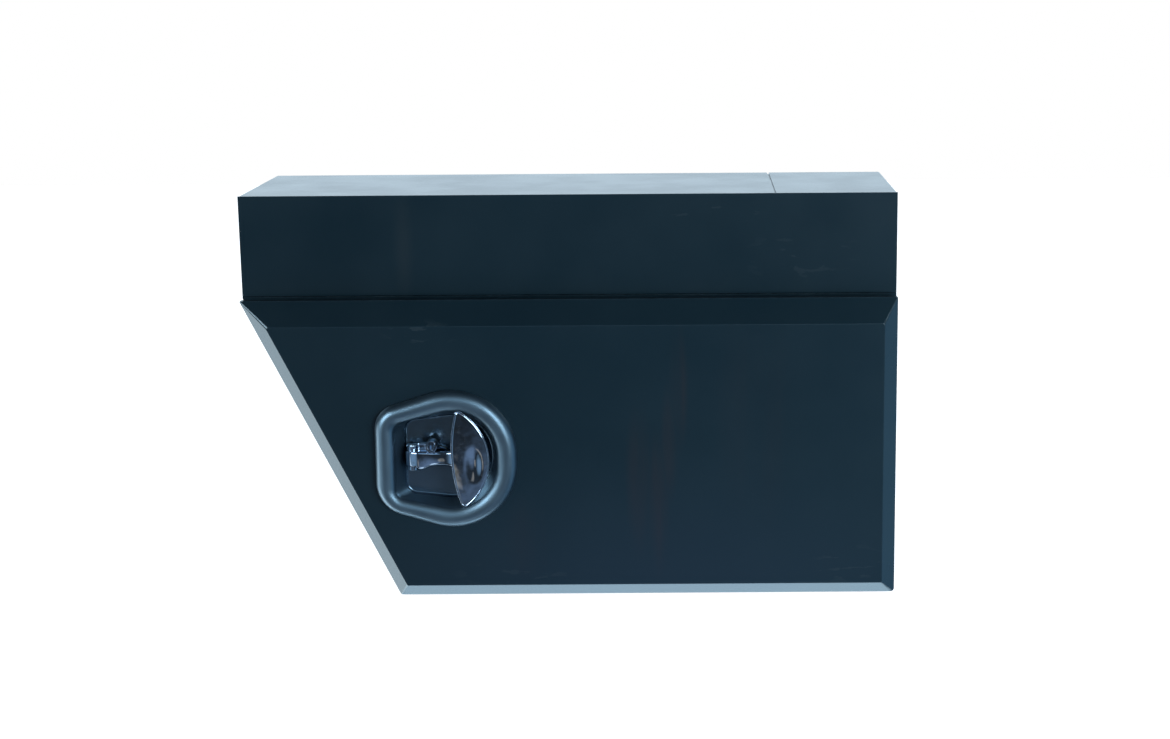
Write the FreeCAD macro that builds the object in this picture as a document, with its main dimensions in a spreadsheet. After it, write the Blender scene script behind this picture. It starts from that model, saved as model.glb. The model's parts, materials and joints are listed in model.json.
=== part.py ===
"""Tapered under-tray tool box with a side-hinged door and a folding handle lock.

The frame: +X to the right of someone facing the door, +Y into the box, +Z up, in millimetres.
The origin is under the middle of the whole box, on the plane that it stands on.
Every driving size is a cell of the sheet "Sizes", and every feature is bound to those cells.
"""
import FreeCAD
import Part
import math
import os
import Sketcher

SHEET = "Sizes"

DRIVING_SIZES = {
    # the folded body
    "width": 700,
    "height": 440,
    "body_depth": 205,
    "fascia_height": 108,
    "fascia_gap": 1.5,
    "slant_run": 163,
    "wall": 1.6,
    "bend": 2.4,
    "seam_from_left": 570,
    "seam_gap": 2.2,
    "joint_strip_width": 44,
    "lip": 18.4,
    "frame_face": 33,
    "header_face": 34,
    "back_flange": 15,
    "brace_width": 60,
    "brace_height": 12,
    # the door
    "door_gap": 9.55,
    "door_lift": 4,
    "bevel": 15,
    "top_bevel": 26,
    "bevel_depth": 15,
    "skirt": 8.45,
    "door_flange": 36,
    "door_base_corner": 4,
    "door_top_corner": 0.8,
    "face_base_corner": 2,
    "face_top_corner": 2.2,
    "face_round": 1.2,
    "stiffener_right_of_middle": 94,
    "stiffener_half": 27,
    "stiffener_web": 15,
    "stiffener_depth": 14,
    "stiffener_short_of_fold": 14,
    # the hinge
    "hinge_from_edge": 4.5,
    "hinge_from_frame": 5.2,
    "knuckle_radius": 4,
    "hinge_pin_radius": 1.5,
    "hinge_play": 0.05,
    "hinge_base": 12,
    "knuckle_length": 28,
    "knuckle_gap": 0.4,
    "leaf_width": 22,
    "leaf_wall": 1.2,
    "rivet_radius": 2,
    "rivet_head": 3.6,
    "rivet_pitch": 52,
    "rivet_base": 26,
    # the seal
    "seal_outer": 27.5,
    "seal_inner": 34.5,
    "seal_height": 9.2,
    # the lock tray: a broad round end, a tapered nose above and a rounder heel below
    "tray_from_left": 223,
    "tray_from_top": 279,
    "tray_round": 70,
    "tray_rise": 5,
    "nose_reach": 54.5,
    "nose_rise": 33,
    "nose_round": 27,
    "heel_reach": 45,
    "heel_rise": 25.5,
    "heel_round": 37,
    "tray_height": 11,
    "mouth_round": 48,
    "mouth_rise": 5,
    "mouth_nose_reach": 50,
    "mouth_nose_rise": 30,
    "mouth_heel_rise": 32,
    "mouth_corner": 11,
    "ring_outer_round": 9,
    "ring_inner_round": 8,
    "dish_depth": 21,
    "dish_wall": 2,
    "floor_round": 44,
    "floor_shift": -1.5,
    "floor_nose_reach": 40,
    "floor_nose_rise": 27.5,
    "floor_nose_round": 12,
    "floor_heel_rise": 31,
    "floor_drop": 3,
    "gasket": 1,
    "clamp_wall": 2,
    "stud_radius": 2,
    "stud_right_reach": 42,
    "stud_right_rise": 46,
    "stud_left_reach": 65,
    "stud_left_rise": 45,
    # the spindle and its handle
    "spindle_shift": 14.6,
    "spindle_radius": 5,
    "spindle_play": 0.05,
    "yoke_pin_shift": 43,
    "yoke_pin_radius": 2.5,
    "yoke_pin_depth": 14,
    "yoke_gap": 0.4,
    "ear_wall": 4,
    "ear_radius": 6,
    "hub_radius": 7,
    "hub_half_height": 8.6,
    "stem_flare": 12.6,
    "paddle_shift": 22.7,
    "paddle_radius": 63.5,
    "paddle_edge": 22.7,
    "paddle_bow": 178,
    "paddle_bow_rise": 9,
    "paddle_wall": 2,
    "paddle_tip": 4.6,
    "key_shift": 21.5,
    "key_rise": 14.5,
    "key_boss_radius": 6.5,
    "barrel_radius": 4.9,
    "plug_radius": 4.05,
    "cam_length": 88,
    "cam_wall": 3,
    "cam_hub": 13,
    "cam_tip": 8,
    # the mounting holes in the back
    "mount_hole_radius": 5.25,
    "mount_spacing_x": 300,
    "mount_spacing_z": 160,
    "mount_middle_x": 60,
    "mount_middle_z": 230,
    "backing_width": 50,
    "backing_height": 200,
    "backing_wall": 3,
}


class Size:
    """A length with the expression that gives it from the sheet's cells."""

    def __init__(self, value, text):
        self.value = float(value)
        self.text = text

    @staticmethod
    def of(other):
        return other if isinstance(other, Size) else Size(other, repr(float(other)))

    def __add__(self, other):
        other = Size.of(other)
        return Size(self.value + other.value, f"({self.text} + {other.text})")

    def __sub__(self, other):
        other = Size.of(other)
        return Size(self.value - other.value, f"({self.text} - {other.text})")

    def __mul__(self, other):
        other = Size.of(other)
        return Size(self.value * other.value, f"({self.text} * {other.text})")

    def __truediv__(self, other):
        other = Size.of(other)
        return Size(self.value / other.value, f"({self.text} / {other.text})")

    def __neg__(self):
        return Size(0, "0.0") - self

    def __radd__(self, other):
        return Size.of(other) + self

    def __rsub__(self, other):
        return Size.of(other) - self

    def __rmul__(self, other):
        return Size.of(other) * self

    def root(self):
        return Size(math.sqrt(self.value), f"sqrt({self.text})")


class Sizes:
    """The sheet: each driving size is a cell with an alias, and an attribute here."""

    def __init__(self, doc, driving):
        sheet = doc.addObject("Spreadsheet::Sheet", SHEET)
        for row, (alias, value) in enumerate(driving.items(), start=1):
            sheet.set(f"A{row}", alias)
            sheet.set(f"B{row}", str(value))
            sheet.setAlias(f"B{row}", alias)
            setattr(self, alias, Size(value, f"<<{SHEET}>>.{alias}"))


doc = FreeCAD.newDocument("under_tray_tool_box")
size = Sizes(doc, DRIVING_SIZES)
doc.recompute()
finished = []

# ---------------------------------------------------------------- planes and points of the whole box

half_width = size.width / 2
wall = size.wall
door_edge_out = size.door_gap + size.skirt
overall_depth = size.body_depth + door_edge_out + size.bevel_depth + size.gasket + size.tray_height
back_y = overall_depth / 2
frame_y = back_y - size.body_depth
flange_back_y = frame_y + wall
lip_back_y = frame_y + size.lip + wall
door_flange_y = frame_y - size.door_gap
door_edge_y = frame_y - door_edge_out
face_y = door_edge_y - size.bevel_depth
tray_back_y = face_y - size.gasket
ring_crest_y = tray_back_y - size.tray_height
dish_floor_y = tray_back_y + size.dish_depth
dish_back_y = dish_floor_y + size.dish_wall

slant_top = size.height - size.fascia_height - size.fascia_gap
fascia_base = size.height - size.fascia_height
header_base = fascia_base - size.header_face
slant_length = (slant_top * slant_top + size.slant_run * size.slant_run).root()
seam_x = size.seam_from_left - half_width

hinge_x = half_width - size.hinge_from_edge
hinge_y = frame_y - size.hinge_from_frame

tray_x = size.tray_from_left - half_width
tray_z = size.height - size.tray_from_top
spindle_x = tray_x - size.spindle_shift
spindle_z = tray_z
yoke_pin_x = tray_x - size.yoke_pin_shift
yoke_pin_y = dish_floor_y - size.yoke_pin_depth
key_x = tray_x - size.key_shift
key_z = tray_z + size.key_rise


def slant_x(inset, z):
    """X of the slanted wall's line at height z, moved inward by inset."""
    return (inset * slant_length - (z - slant_top) * size.slant_run) / slant_top - half_width


def body_corners(inset):
    """Front view of the body, moved inward: top left, top right, bottom right, slant foot, slant head."""
    left = inset - half_width
    right = half_width - inset
    top = size.height - inset
    head_z = slant_top + inset * (slant_length - slant_top) / size.slant_run
    return [(left, top), (right, top), (right, inset), (slant_x(inset, inset), inset), (left, head_z)]


def door_corners(inset, top_inset):
    """Front view of the door, moved inward: foot of the slant, bottom right, top right, head of the slant."""
    top = slant_top - top_inset
    base = size.door_lift + inset
    right = half_width - inset
    return [(slant_x(inset, base), base), (right, base), (right, top), (slant_x(inset, top), top)]


def door_discs(inset, top_inset, base_corner, top_corner):
    """The door's outline as round corners joined by straight runs."""
    low = door_corners(inset + base_corner, top_inset + base_corner)[:2]
    high = door_corners(inset + top_corner, top_inset + top_corner)[2:]
    return [(x, z, base_corner) for x, z in low] + [(x, z, top_corner) for x, z in high]


def tray_discs(inset):
    """The tray's outline, moved inward: two broad discs on the right, the nose and the heel on the left."""
    upper, lower = tray_z + size.tray_rise, tray_z - size.tray_rise
    return [
        (tray_x, upper, size.tray_round - inset),
        (tray_x - size.nose_reach, tray_z + size.nose_rise, size.nose_round - inset),
        (tray_x - size.heel_reach, tray_z - size.heel_rise, size.heel_round - inset),
        (tray_x, lower, size.tray_round - inset),
    ]


def mouth_discs(grow):
    """The inner edge of the tray's ring, moved outward by grow."""
    nose = tray_x - size.mouth_nose_reach
    return [
        (tray_x, tray_z + size.mouth_rise, size.mouth_round + grow),
        (nose, tray_z + size.mouth_nose_rise, size.mouth_corner + grow),
        (nose, tray_z - size.mouth_heel_rise, size.mouth_corner + grow),
        (tray_x, tray_z - size.mouth_rise, size.mouth_round + grow),
    ]


def floor_discs(grow):
    """The dish's floor, moved outward by grow."""
    nose, middle = tray_x - size.floor_nose_reach, tray_x + size.floor_shift
    return [
        (middle, tray_z, size.floor_round + grow),
        (nose, tray_z + size.floor_nose_rise, size.floor_nose_round + grow),
        (nose, tray_z - size.floor_heel_rise, size.floor_nose_round + grow),
        (middle, tray_z - size.floor_drop, size.floor_round + grow),
    ]


def stud_places():
    """The four lock studs, on the ring of the tray."""
    right, left = tray_x + size.stud_right_reach, tray_x - size.stud_left_reach
    return [
        (right, tray_z + size.stud_right_rise),
        (left, tray_z + size.stud_left_rise),
        (left, tray_z - size.stud_left_rise),
        (right, tray_z - size.stud_right_rise),
    ]


def mount_places():
    """The four mounting holes in the back panel."""
    places = []
    for side in (-1, 1):
        for level in (-1, 1):
            x = size.mount_middle_x + size.mount_spacing_x * (side / 2)
            z = size.mount_middle_z + size.mount_spacing_z * (level / 2)
            places.append((x, z))
    return places


# ---------------------------------------------------------------- sketch helpers


def bind(thing, prop, amount):
    """Gives a property its expression."""
    thing.setExpression(prop, Size.of(amount).text)


def new_body(label):
    body = doc.addObject("PartDesign::Body", label)
    body.Label = label
    return body


def origin_feature(body, role):
    return [f for f in body.Origin.OriginFeatures if f.Role == role][0]


def new_sketch(body, name, role, shift):
    """A sketch on one of the body's origin planes, with shift = (x, y, z) in the plane's own axes."""
    sketch = body.newObject("Sketcher::SketchObject", f"{body.Name}_{name}")
    sketch.AttachmentSupport = [(origin_feature(body, role), "")]
    sketch.MapMode = "FlatFace"
    moves = [Size.of(amount) for amount in shift]
    base = FreeCAD.Vector(*[amount.value for amount in moves])
    sketch.AttachmentOffset = FreeCAD.Placement(base, FreeCAD.Rotation())
    for axis, amount in zip("xyz", moves):
        bind(sketch, f"AttachmentOffset.Base.{axis}", amount)
    return sketch


def fix(sketch, kind, geometry, point, amount):
    """Adds one driving constraint bound to the sheet."""
    amount = Size.of(amount)
    if kind == "Radius":
        number = sketch.addConstraint(Sketcher.Constraint(kind, geometry, amount.value))
    else:
        number = sketch.addConstraint(Sketcher.Constraint(kind, -1, 1, geometry, point, amount.value))
    sketch.setExpression(f"Constraints[{number}]", amount.text)


def draw_polygon(sketch, corners):
    """A closed outline with straight sides, its corners bound to the sheet."""
    corners = [(Size.of(a), Size.of(b)) for a, b in corners]
    flat = [FreeCAD.Vector(a.value, b.value, 0) for a, b in corners]
    count = len(flat)
    lines = [sketch.addGeometry(Part.LineSegment(flat[i], flat[(i + 1) % count])) for i in range(count)]
    for i in range(count):
        sketch.addConstraint(Sketcher.Constraint("Coincident", lines[i], 2, lines[(i + 1) % count], 1))
    for line, (a, b) in zip(lines, corners):
        fix(sketch, "DistanceX", line, 1, a)
        fix(sketch, "DistanceY", line, 1, b)


def draw_circle(sketch, a, b, radius):
    a, b, radius = Size.of(a), Size.of(b), Size.of(radius)
    centre = FreeCAD.Vector(a.value, b.value, 0)
    circle = sketch.addGeometry(Part.Circle(centre, FreeCAD.Vector(0, 0, 1), radius.value))
    fix(sketch, "DistanceX", circle, 3, a)
    fix(sketch, "DistanceY", circle, 3, b)
    fix(sketch, "Radius", circle, 3, radius)


def draw_belt(sketch, discs):
    """The closed line round a ring of discs, listed anticlockwise: an arc on each and a tangent between."""
    discs = [(Size.of(a), Size.of(b), Size.of(r)) for a, b, r in discs]
    count = len(discs)
    leaves = []
    for i in range(count):
        a, b, r = discs[i]
        c, d, q = discs[(i + 1) % count]
        along = math.atan2(d.value - b.value, c.value - a.value)
        apart = math.hypot(d.value - b.value, c.value - a.value)
        leaves.append(along - math.acos((r.value - q.value) / apart))
    arcs = []
    for i in range(count):
        a, b, r = discs[i]
        start, end = leaves[i - 1], leaves[i]
        while end < start:
            end += 2 * math.pi
        circle = Part.Circle(FreeCAD.Vector(a.value, b.value, 0), FreeCAD.Vector(0, 0, 1), r.value)
        arcs.append(sketch.addGeometry(Part.ArcOfCircle(circle, start, end)))
        fix(sketch, "DistanceX", arcs[i], 3, a)
        fix(sketch, "DistanceY", arcs[i], 3, b)
        fix(sketch, "Radius", arcs[i], 3, r)
    for i in range(count):
        a, b, r = discs[i]
        c, d, q = discs[(i + 1) % count]
        way = (math.cos(leaves[i]), math.sin(leaves[i]))
        start = FreeCAD.Vector(a.value + r.value * way[0], b.value + r.value * way[1], 0)
        end = FreeCAD.Vector(c.value + q.value * way[0], d.value + q.value * way[1], 0)
        line = sketch.addGeometry(Part.LineSegment(start, end))
        sketch.addConstraint(Sketcher.Constraint("Tangent", arcs[i], 2, line, 1))
        sketch.addConstraint(Sketcher.Constraint("Tangent", line, 2, arcs[(i + 1) % count], 1))


def draw(sketch, loops):
    """Loops are polygons (pairs), belts (triples in a list) or circles (one triple)."""
    for loop in loops:
        if isinstance(loop, tuple):
            draw_circle(sketch, *loop)
        elif len(loop[0]) == 3:
            draw_belt(sketch, loop)
        else:
            draw_polygon(sketch, loop)


def extrude(body, kind, name, sketch, length):
    feature = body.newObject(f"PartDesign::{kind}", f"{body.Name}_{name}")
    feature.Profile = sketch
    feature.Length = Size.of(length).value
    bind(feature, "Length", length)
    return feature


def front_sketch(body, name, loops, y):
    sketch = new_sketch(body, f"{name}_outline", "XZ_Plane", (0, 0, -Size.of(y)))
    draw(sketch, loops)
    return sketch


def front_pad(body, name, loops, back, front):
    """Material between the planes y = back and y = front, with front the lower y."""
    return extrude(body, "Pad", name, front_sketch(body, name, loops, back), back - front)


def front_pocket(body, name, loops, front, back):
    """Takes material away between y = front and y = back."""
    return extrude(body, "Pocket", name, front_sketch(body, name, loops, front), back - front)


def front_loft(body, kind, name, first, first_y, second, second_y):
    """A tapered solid, added or taken away, between two outlines."""
    loft = body.newObject(f"PartDesign::{kind}Loft", f"{body.Name}_{name}")
    one = front_sketch(body, f"{name}_near", [first], first_y)
    two = front_sketch(body, f"{name}_far", [second], second_y)
    loft.Profile = one
    loft.Sections = [two]
    loft.Ruled = True
    return loft


def plan_pad(body, name, loops, base, top):
    """Material between the levels z = base and z = top, drawn in plan."""
    sketch = new_sketch(body, f"{name}_outline", "XY_Plane", (0, 0, base))
    draw(sketch, loops)
    return extrude(body, "Pad", name, sketch, top - base)


def plan_pocket(body, name, loops, base, top):
    sketch = new_sketch(body, f"{name}_outline", "XY_Plane", (0, 0, top))
    draw(sketch, loops)
    return extrude(body, "Pocket", name, sketch, top - base)


def side_pad(body, name, loops, left, right):
    """Material between x = left and x = right, drawn in side view."""
    sketch = new_sketch(body, f"{name}_outline", "YZ_Plane", (0, 0, left))
    draw(sketch, loops)
    return extrude(body, "Pad", name, sketch, right - left)


def turn(body, sketch, name):
    turned = body.newObject("PartDesign::Revolution", f"{body.Name}_{name}")
    turned.Profile = sketch
    turned.ReferenceAxis = (sketch, ["V_Axis"])
    turned.Angle = 360
    return turned


def turned_along_y(body, name, profile, x, z):
    """A round solid about the line along Y through (x, z). The profile is (radius, y) pairs."""
    sketch = new_sketch(body, f"{name}_profile", "XY_Plane", (x, 0, z))
    draw(sketch, [profile])
    return turn(body, sketch, name)


def turned_along_z(body, name, profile, x, y):
    """A round solid about the upright line through (x, y). The profile is (radius, z) pairs."""
    sketch = new_sketch(body, f"{name}_profile", "XZ_Plane", (x, 0, -Size.of(y)))
    draw(sketch, [profile])
    return turn(body, sketch, name)


def repeat_up(body, feature, pitch, count):
    """Repeats a feature upward, count times in all."""
    pattern = body.newObject("PartDesign::LinearPattern", f"{feature.Name}_row")
    pattern.Originals = [feature]
    pattern.Direction = (origin_feature(body, "Z_Axis"), [""])
    bind(pattern, "Length", Size.of(pitch) * (count - 1))
    pattern.Occurrences = count
    body.Tip = pattern
    return pattern


def round_edges(body, name, radius, wanted):
    """Rounds the edges of the body so far that the test picks."""
    doc.recompute()
    base = body.Tip
    names = [f"Edge{i}" for i, edge in enumerate(base.Shape.Edges, start=1) if wanted(edge)]
    if not names:
        raise RuntimeError(f"{body.Label}: no edges to round for {name}")
    rounding = body.newObject("PartDesign::Fillet", f"{body.Name}_{name}")
    rounding.Base = (base, names)
    rounding.Radius = Size.of(radius).value
    bind(rounding, "Radius", radius)
    return rounding


def lies_at(edge, axis, level):
    """Whether a whole edge lies in the plane where axis equals level."""
    level = Size.of(level).value
    box = edge.BoundBox
    low, high = getattr(box, f"{axis}Min"), getattr(box, f"{axis}Max")
    return abs(low - level) < 0.01 and abs(high - level) < 0.01


def runs_along_y_at(edge, places):
    """Whether an edge is a straight line along Y through one of the places (x, z)."""
    if edge.Curve.TypeId != "Part::GeomLine" or edge.BoundBox.YLength < 0.5:
        return False
    if edge.BoundBox.XLength + edge.BoundBox.ZLength > 0.01:
        return False
    x, z = edge.Vertexes[0].X, edge.Vertexes[0].Z
    return any(math.hypot(x - Size.of(a).value, z - Size.of(b).value) < 0.05 for a, b in places)


def finish(sub_part):
    finished.append(sub_part)
    return sub_part


def rectangle(left, right, base, top):
    return [(left, base), (right, base), (right, top), (left, top)]


# ---------------------------------------------------------------- the folded body


def body_wrap_main():
    """One folded sheet: the roof up to the seam, the left wall, the slanted wall and the floor."""
    body = new_body("body_wrap_main")
    outer, inner = body_corners(0), body_corners(wall)
    end = seam_x - size.seam_gap / 2
    strip = [(end, size.height), outer[0], outer[4], outer[3], (half_width - wall, 0)]
    strip += [(half_width - wall, wall), inner[3], inner[4], inner[0], (end, size.height - wall)]
    front_pad(body, "sheet", [strip], back_y, flange_back_y)
    round_edges(body, "outer_bends", size.bend, lambda e: runs_along_y_at(e, [outer[0], outer[4], outer[3]]))
    inner_bend = size.bend - wall
    round_edges(body, "inner_bends", inner_bend, lambda e: runs_along_y_at(e, [inner[0], inner[4], inner[3]]))
    return finish(body)


def body_wrap_end():
    """The other folded sheet: the roof past the seam and the right wall, lapped over the floor inside."""
    body = new_body("body_wrap_end")
    start = seam_x + size.seam_gap / 2
    outer, inner = (half_width, size.height), (half_width - wall, size.height - wall)
    strip = [(start, size.height), outer, (half_width, 0), (half_width - wall, 0), inner]
    strip += [(start, size.height - wall)]
    front_pad(body, "sheet", [strip], back_y, flange_back_y)
    round_edges(body, "outer_bend", size.bend, lambda e: runs_along_y_at(e, [outer]))
    round_edges(body, "inner_bend", size.bend - wall, lambda e: runs_along_y_at(e, [inner]))
    lap = rectangle(half_width - wall - size.lip, half_width - wall, wall, wall * 2)
    front_pad(body, "floor_lap", [lap], back_y - size.back_flange - wall * 2, lip_back_y + wall)
    return finish(body)


def roof_joint_strip():
    """The strip under the roof that the two sheets are spot welded to."""
    body = new_body("roof_joint_strip")
    half = size.joint_strip_width / 2
    loop = rectangle(seam_x - half, seam_x + half, size.height - wall * 2, size.height - wall)
    front_pad(body, "strip", [loop], back_y - size.back_flange - wall * 2, lip_back_y + wall)
    return finish(body)


def back_panel():
    """The back, a flanged sheet inside the wrap, with four mounting holes."""
    body = new_body("back_panel")
    front_pad(body, "sheet", [body_corners(wall)], back_y, back_y - wall)
    ring = [body_corners(wall), body_corners(wall * 2)]
    front_pad(body, "flange", ring, back_y - wall, back_y - wall - size.back_flange)
    holes = [(x, z, size.mount_hole_radius) for x, z in mount_places()]
    front_pocket(body, "mounting_holes", holes, back_y - wall * 2, back_y + 1)
    return finish(body)


def backing_plate(label, side):
    """A thick plate inside the back, behind one upright pair of mounting holes."""
    body = new_body(label)
    x = size.mount_middle_x + size.mount_spacing_x * (side / 2)
    half_width_of_plate = size.backing_width / 2
    low = size.mount_middle_z - size.backing_height / 2
    plate = rectangle(x - half_width_of_plate, x + half_width_of_plate, low, low + size.backing_height)
    holes = [(a, b, size.mount_hole_radius) for a, b in mount_places() if abs(a.value - x.value) < 1]
    front_pad(body, "plate", [plate] + holes, back_y - wall, back_y - wall - size.backing_wall)
    return finish(body)


FASCIA_BEND = 0.9


def front_fascia():
    """The plain band above the door, with its folded top flange and lower lip."""
    body = new_body("front_fascia")
    top = size.height
    section = [(frame_y, fascia_base), (lip_back_y, fascia_base), (lip_back_y, fascia_base + wall)]
    section += [(flange_back_y, fascia_base + wall), (flange_back_y, top - wall * 2)]
    section += [(lip_back_y, top - wall * 2), (lip_back_y, top - wall), (flange_back_y, top - wall)]
    section += [(flange_back_y, top), (frame_y, top)]
    side_pad(body, "section", [section], wall - half_width, half_width - wall)
    for name, left in (("left_edge", -half_width), ("right_edge", half_width - wall)):
        loop = rectangle(left, left + wall, fascia_base, top)
        front_pad(body, name, [loop], flange_back_y, frame_y)
    round_edges(body, "lower_bend", wall * FASCIA_BEND, is_fascia_fold)
    return finish(body)


def is_fascia_fold(edge):
    return lies_at(edge, "Y", frame_y) and lies_at(edge, "Z", fascia_base)


def header_channel():
    """The folded channel under the fascia that closes the top of the door opening."""
    body = new_body("header_channel")
    face = [
        (slant_x(0, header_base), header_base),
        (half_width, header_base),
        (half_width, fascia_base),
        (-half_width, fascia_base),
        (-half_width, slant_top),
    ]
    front_pad(body, "face", [face], flange_back_y, frame_y)
    inside_left = wall - half_width
    leg = rectangle(inside_left + wall * 2, half_width - wall, fascia_base - wall, fascia_base)
    front_pad(body, "leg", [leg], lip_back_y, flange_back_y)
    return finish(body)


def frame_strip(label, face, leg):
    """One folded angle of the door frame: a face in front and a leg along the wall."""
    body = new_body(label)
    front_pad(body, "face", [face], flange_back_y, frame_y)
    front_pad(body, "leg", [leg], lip_back_y, flange_back_y)
    return body


def frame_strip_left():
    face_in, outer, inner = size.frame_face, body_corners(0), body_corners(size.frame_face)
    face = [outer[3], inner[3], (slant_x(face_in, header_base), header_base)]
    face += [(slant_x(0, header_base), header_base)]
    leg_top = header_base - 1
    leg = [body_corners(wall)[3], body_corners(wall * 2)[3]]
    leg += [(slant_x(wall * 2, leg_top), leg_top), (slant_x(wall, leg_top), leg_top)]
    return finish(frame_strip("frame_strip_left", face, leg))


def frame_strip_bottom():
    outer, inner = body_corners(0), body_corners(size.frame_face)
    leg_out, leg_in = body_corners(wall), body_corners(wall * 2)
    face = [outer[3], outer[2], inner[2], inner[3]]
    leg = [leg_out[3], leg_out[2], leg_in[2], leg_in[3]]
    return finish(frame_strip("frame_strip_bottom", face, leg))


def rivet_rows(body, name, front, back):
    """Holes for the upright row of hinge rivets."""
    x = hinge_x - size.leaf_width * RIVET_ACROSS
    hole = front_pocket(body, name, [(x, size.rivet_base, size.rivet_radius)], front, back)
    repeat_up(body, hole, size.rivet_pitch, RIVETS)


def frame_strip_right():
    outer, inner = body_corners(0), body_corners(size.frame_face)
    leg_out, leg_in = body_corners(wall), body_corners(wall * 2)
    face = [outer[2], (half_width, header_base), (half_width - size.frame_face, header_base), inner[2]]
    leg_top = header_base - 1
    leg = [leg_out[2], (half_width - wall, leg_top), (half_width - wall * 2, leg_top), leg_in[2]]
    body = frame_strip("frame_strip_right", face, leg)
    rivet_rows(body, "rivet_hole", frame_y - 1, flange_back_y + 1)
    return finish(body)


def roof_brace():
    """The hat-shaped brace under the roof, along the box."""
    body = new_body("roof_brace")
    roof = size.height - wall
    half, hat_half = size.brace_width / 2, size.brace_width / 4
    low = roof - size.brace_height
    section = [(-half, roof - wall), (-hat_half - wall, roof - wall), (-hat_half - wall, low)]
    section += [(hat_half + wall, low), (hat_half + wall, roof - wall), (half, roof - wall), (half, roof)]
    section += [(hat_half, roof), (hat_half, low + wall), (-hat_half, low + wall), (-hat_half, roof), (-half, roof)]
    side_pad(body, "section", [section], wall * 10 - half_width, seam_x - size.joint_strip_width)
    return finish(body)


SEAL_LIP = 1.5


def door_seal():
    """The rubber seal: a soft bead on the frame's face, folded round its edge."""
    body = new_body("door_seal")
    edge, lips = size.frame_face, size.seal_inner
    top_edge, top_lips = slant_top - header_base, slant_top - header_base + (lips - edge)
    bead_top = slant_top - header_base - (edge - size.seal_outer)

    def opening(inset, top_inset):
        right, top = half_width - inset, slant_top - top_inset
        return [(slant_x(inset, inset), inset), (right, inset), (right, top), (slant_x(inset, top), top)]

    bead = [opening(size.seal_outer, bead_top), opening(lips, top_lips)]
    front_pad(body, "bead", bead, frame_y, frame_y - size.seal_height)
    edge_wrap = [opening(edge, top_edge), opening(lips, top_lips)]
    front_pad(body, "edge", edge_wrap, flange_back_y, frame_y)
    back_lip = [opening(size.seal_outer + 1, bead_top + 1), opening(lips, top_lips)]
    front_pad(body, "back_lip", back_lip, flange_back_y + SEAL_LIP, flange_back_y)
    return finish(body)


KEEPER_INSET = 10
KEEPER_WIDTH = 16
KEEPER_HALF = 30


def lock_keeper():
    """The wear plate behind the slanted frame face that the lock's cam bears on."""
    body = new_body("lock_keeper")
    across = (slant_top / slant_length, size.slant_run / slant_length)
    along = (size.slant_run / slant_length, -(slant_top / slant_length))
    reach = spindle_reach()
    corners = []
    near, far, half = KEEPER_INSET, KEEPER_INSET + KEEPER_WIDTH, KEEPER_HALF
    for inset, side in ((near, -half), (far, -half), (far, half), (near, half)):
        back = reach - inset
        x = spindle_x - across[0] * back + along[0] * side
        z = spindle_z - across[1] * back + along[1] * side
        corners.append((x, z))
    front_pad(body, "plate", [corners], flange_back_y + wall, flange_back_y)
    return finish(body)


def spindle_reach():
    """Distance from the spindle's axis to the slanted wall's line."""
    rise = (spindle_x + half_width) * slant_top + (spindle_z - slant_top) * size.slant_run
    return rise / slant_length


# ---------------------------------------------------------------- the hinge

RIVETS = 6
RIVET_ACROSS = 0.6
RIVET_CROWN = 1.2
KNUCKLES = 11
WINDOW_CLEAR = 0.6
WINDOW_DEEP = 8
PIN_HEAD = 1.5
PIN_HEAD_OUT = 1
PIN_HEAD_LIFT = 0.5


def hinge_top():
    return size.hinge_base + size.knuckle_length * KNUCKLES


def hinge_leaf(label, plate_front, plate_back, first_window, windows):
    """A leaf along its whole height, with windows where the other leaf's knuckles turn."""
    body = new_body(label)
    left = hinge_x - size.leaf_width
    ring_left = hinge_x - size.knuckle_radius
    base, top = size.hinge_base, hinge_top()
    plan_pad(body, "plate", [rectangle(left, hinge_x, plate_front, plate_back)], base, top)
    toward = min((plate_front, plate_back), key=lambda y: abs(y.value - hinge_y.value))
    low, high = (hinge_y, toward) if toward.value > hinge_y.value else (toward, hinge_y)
    plan_pad(body, "curl", [rectangle(ring_left, hinge_x, low, high)], base, top)
    plan_pad(body, "knuckle", [(hinge_x, hinge_y, size.knuckle_radius)], base, top)
    bore = (hinge_x, hinge_y, size.hinge_pin_radius + size.hinge_play)
    plan_pocket(body, "pin_bore", [bore], base - 1, top + 1)
    gap = size.knuckle_gap
    low_z = base + size.knuckle_length * first_window - gap
    window = rectangle(ring_left - WINDOW_CLEAR, half_width + 2, hinge_y - WINDOW_DEEP, hinge_y + WINDOW_DEEP)
    cut = plan_pocket(body, "window", [window], low_z, low_z + size.knuckle_length + gap * 2)
    repeat_up(body, cut, size.knuckle_length * 2, windows)
    return body


def hinge_leaf_body():
    body = hinge_leaf("hinge_leaf_body", frame_y - size.leaf_wall, frame_y, 1, KNUCKLES // 2)
    rivet_rows(body, "rivet_hole", frame_y - size.leaf_wall - 1, frame_y + 1)
    return finish(body)


def hinge_leaf_door():
    back = door_flange_y + size.leaf_wall
    body = hinge_leaf("hinge_leaf_door", door_flange_y, back, 0, KNUCKLES // 2 + 1)
    rivet_rows(body, "rivet_hole", door_flange_y - 1, back + 1)
    return finish(body)


def hinge_pin():
    body = new_body("hinge_pin")
    radius, head = size.hinge_pin_radius, size.hinge_pin_radius + PIN_HEAD_OUT
    base, top = size.hinge_base - PIN_HEAD_LIFT, hinge_top() + PIN_HEAD_LIFT
    profile = [(0, base - PIN_HEAD), (head, base - PIN_HEAD), (head, base), (radius, base)]
    profile += [(radius, top), (head, top), (head, top + PIN_HEAD), (0, top + PIN_HEAD)]
    turned_along_z(body, "pin", profile, hinge_x, hinge_y)
    return finish(body)


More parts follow.
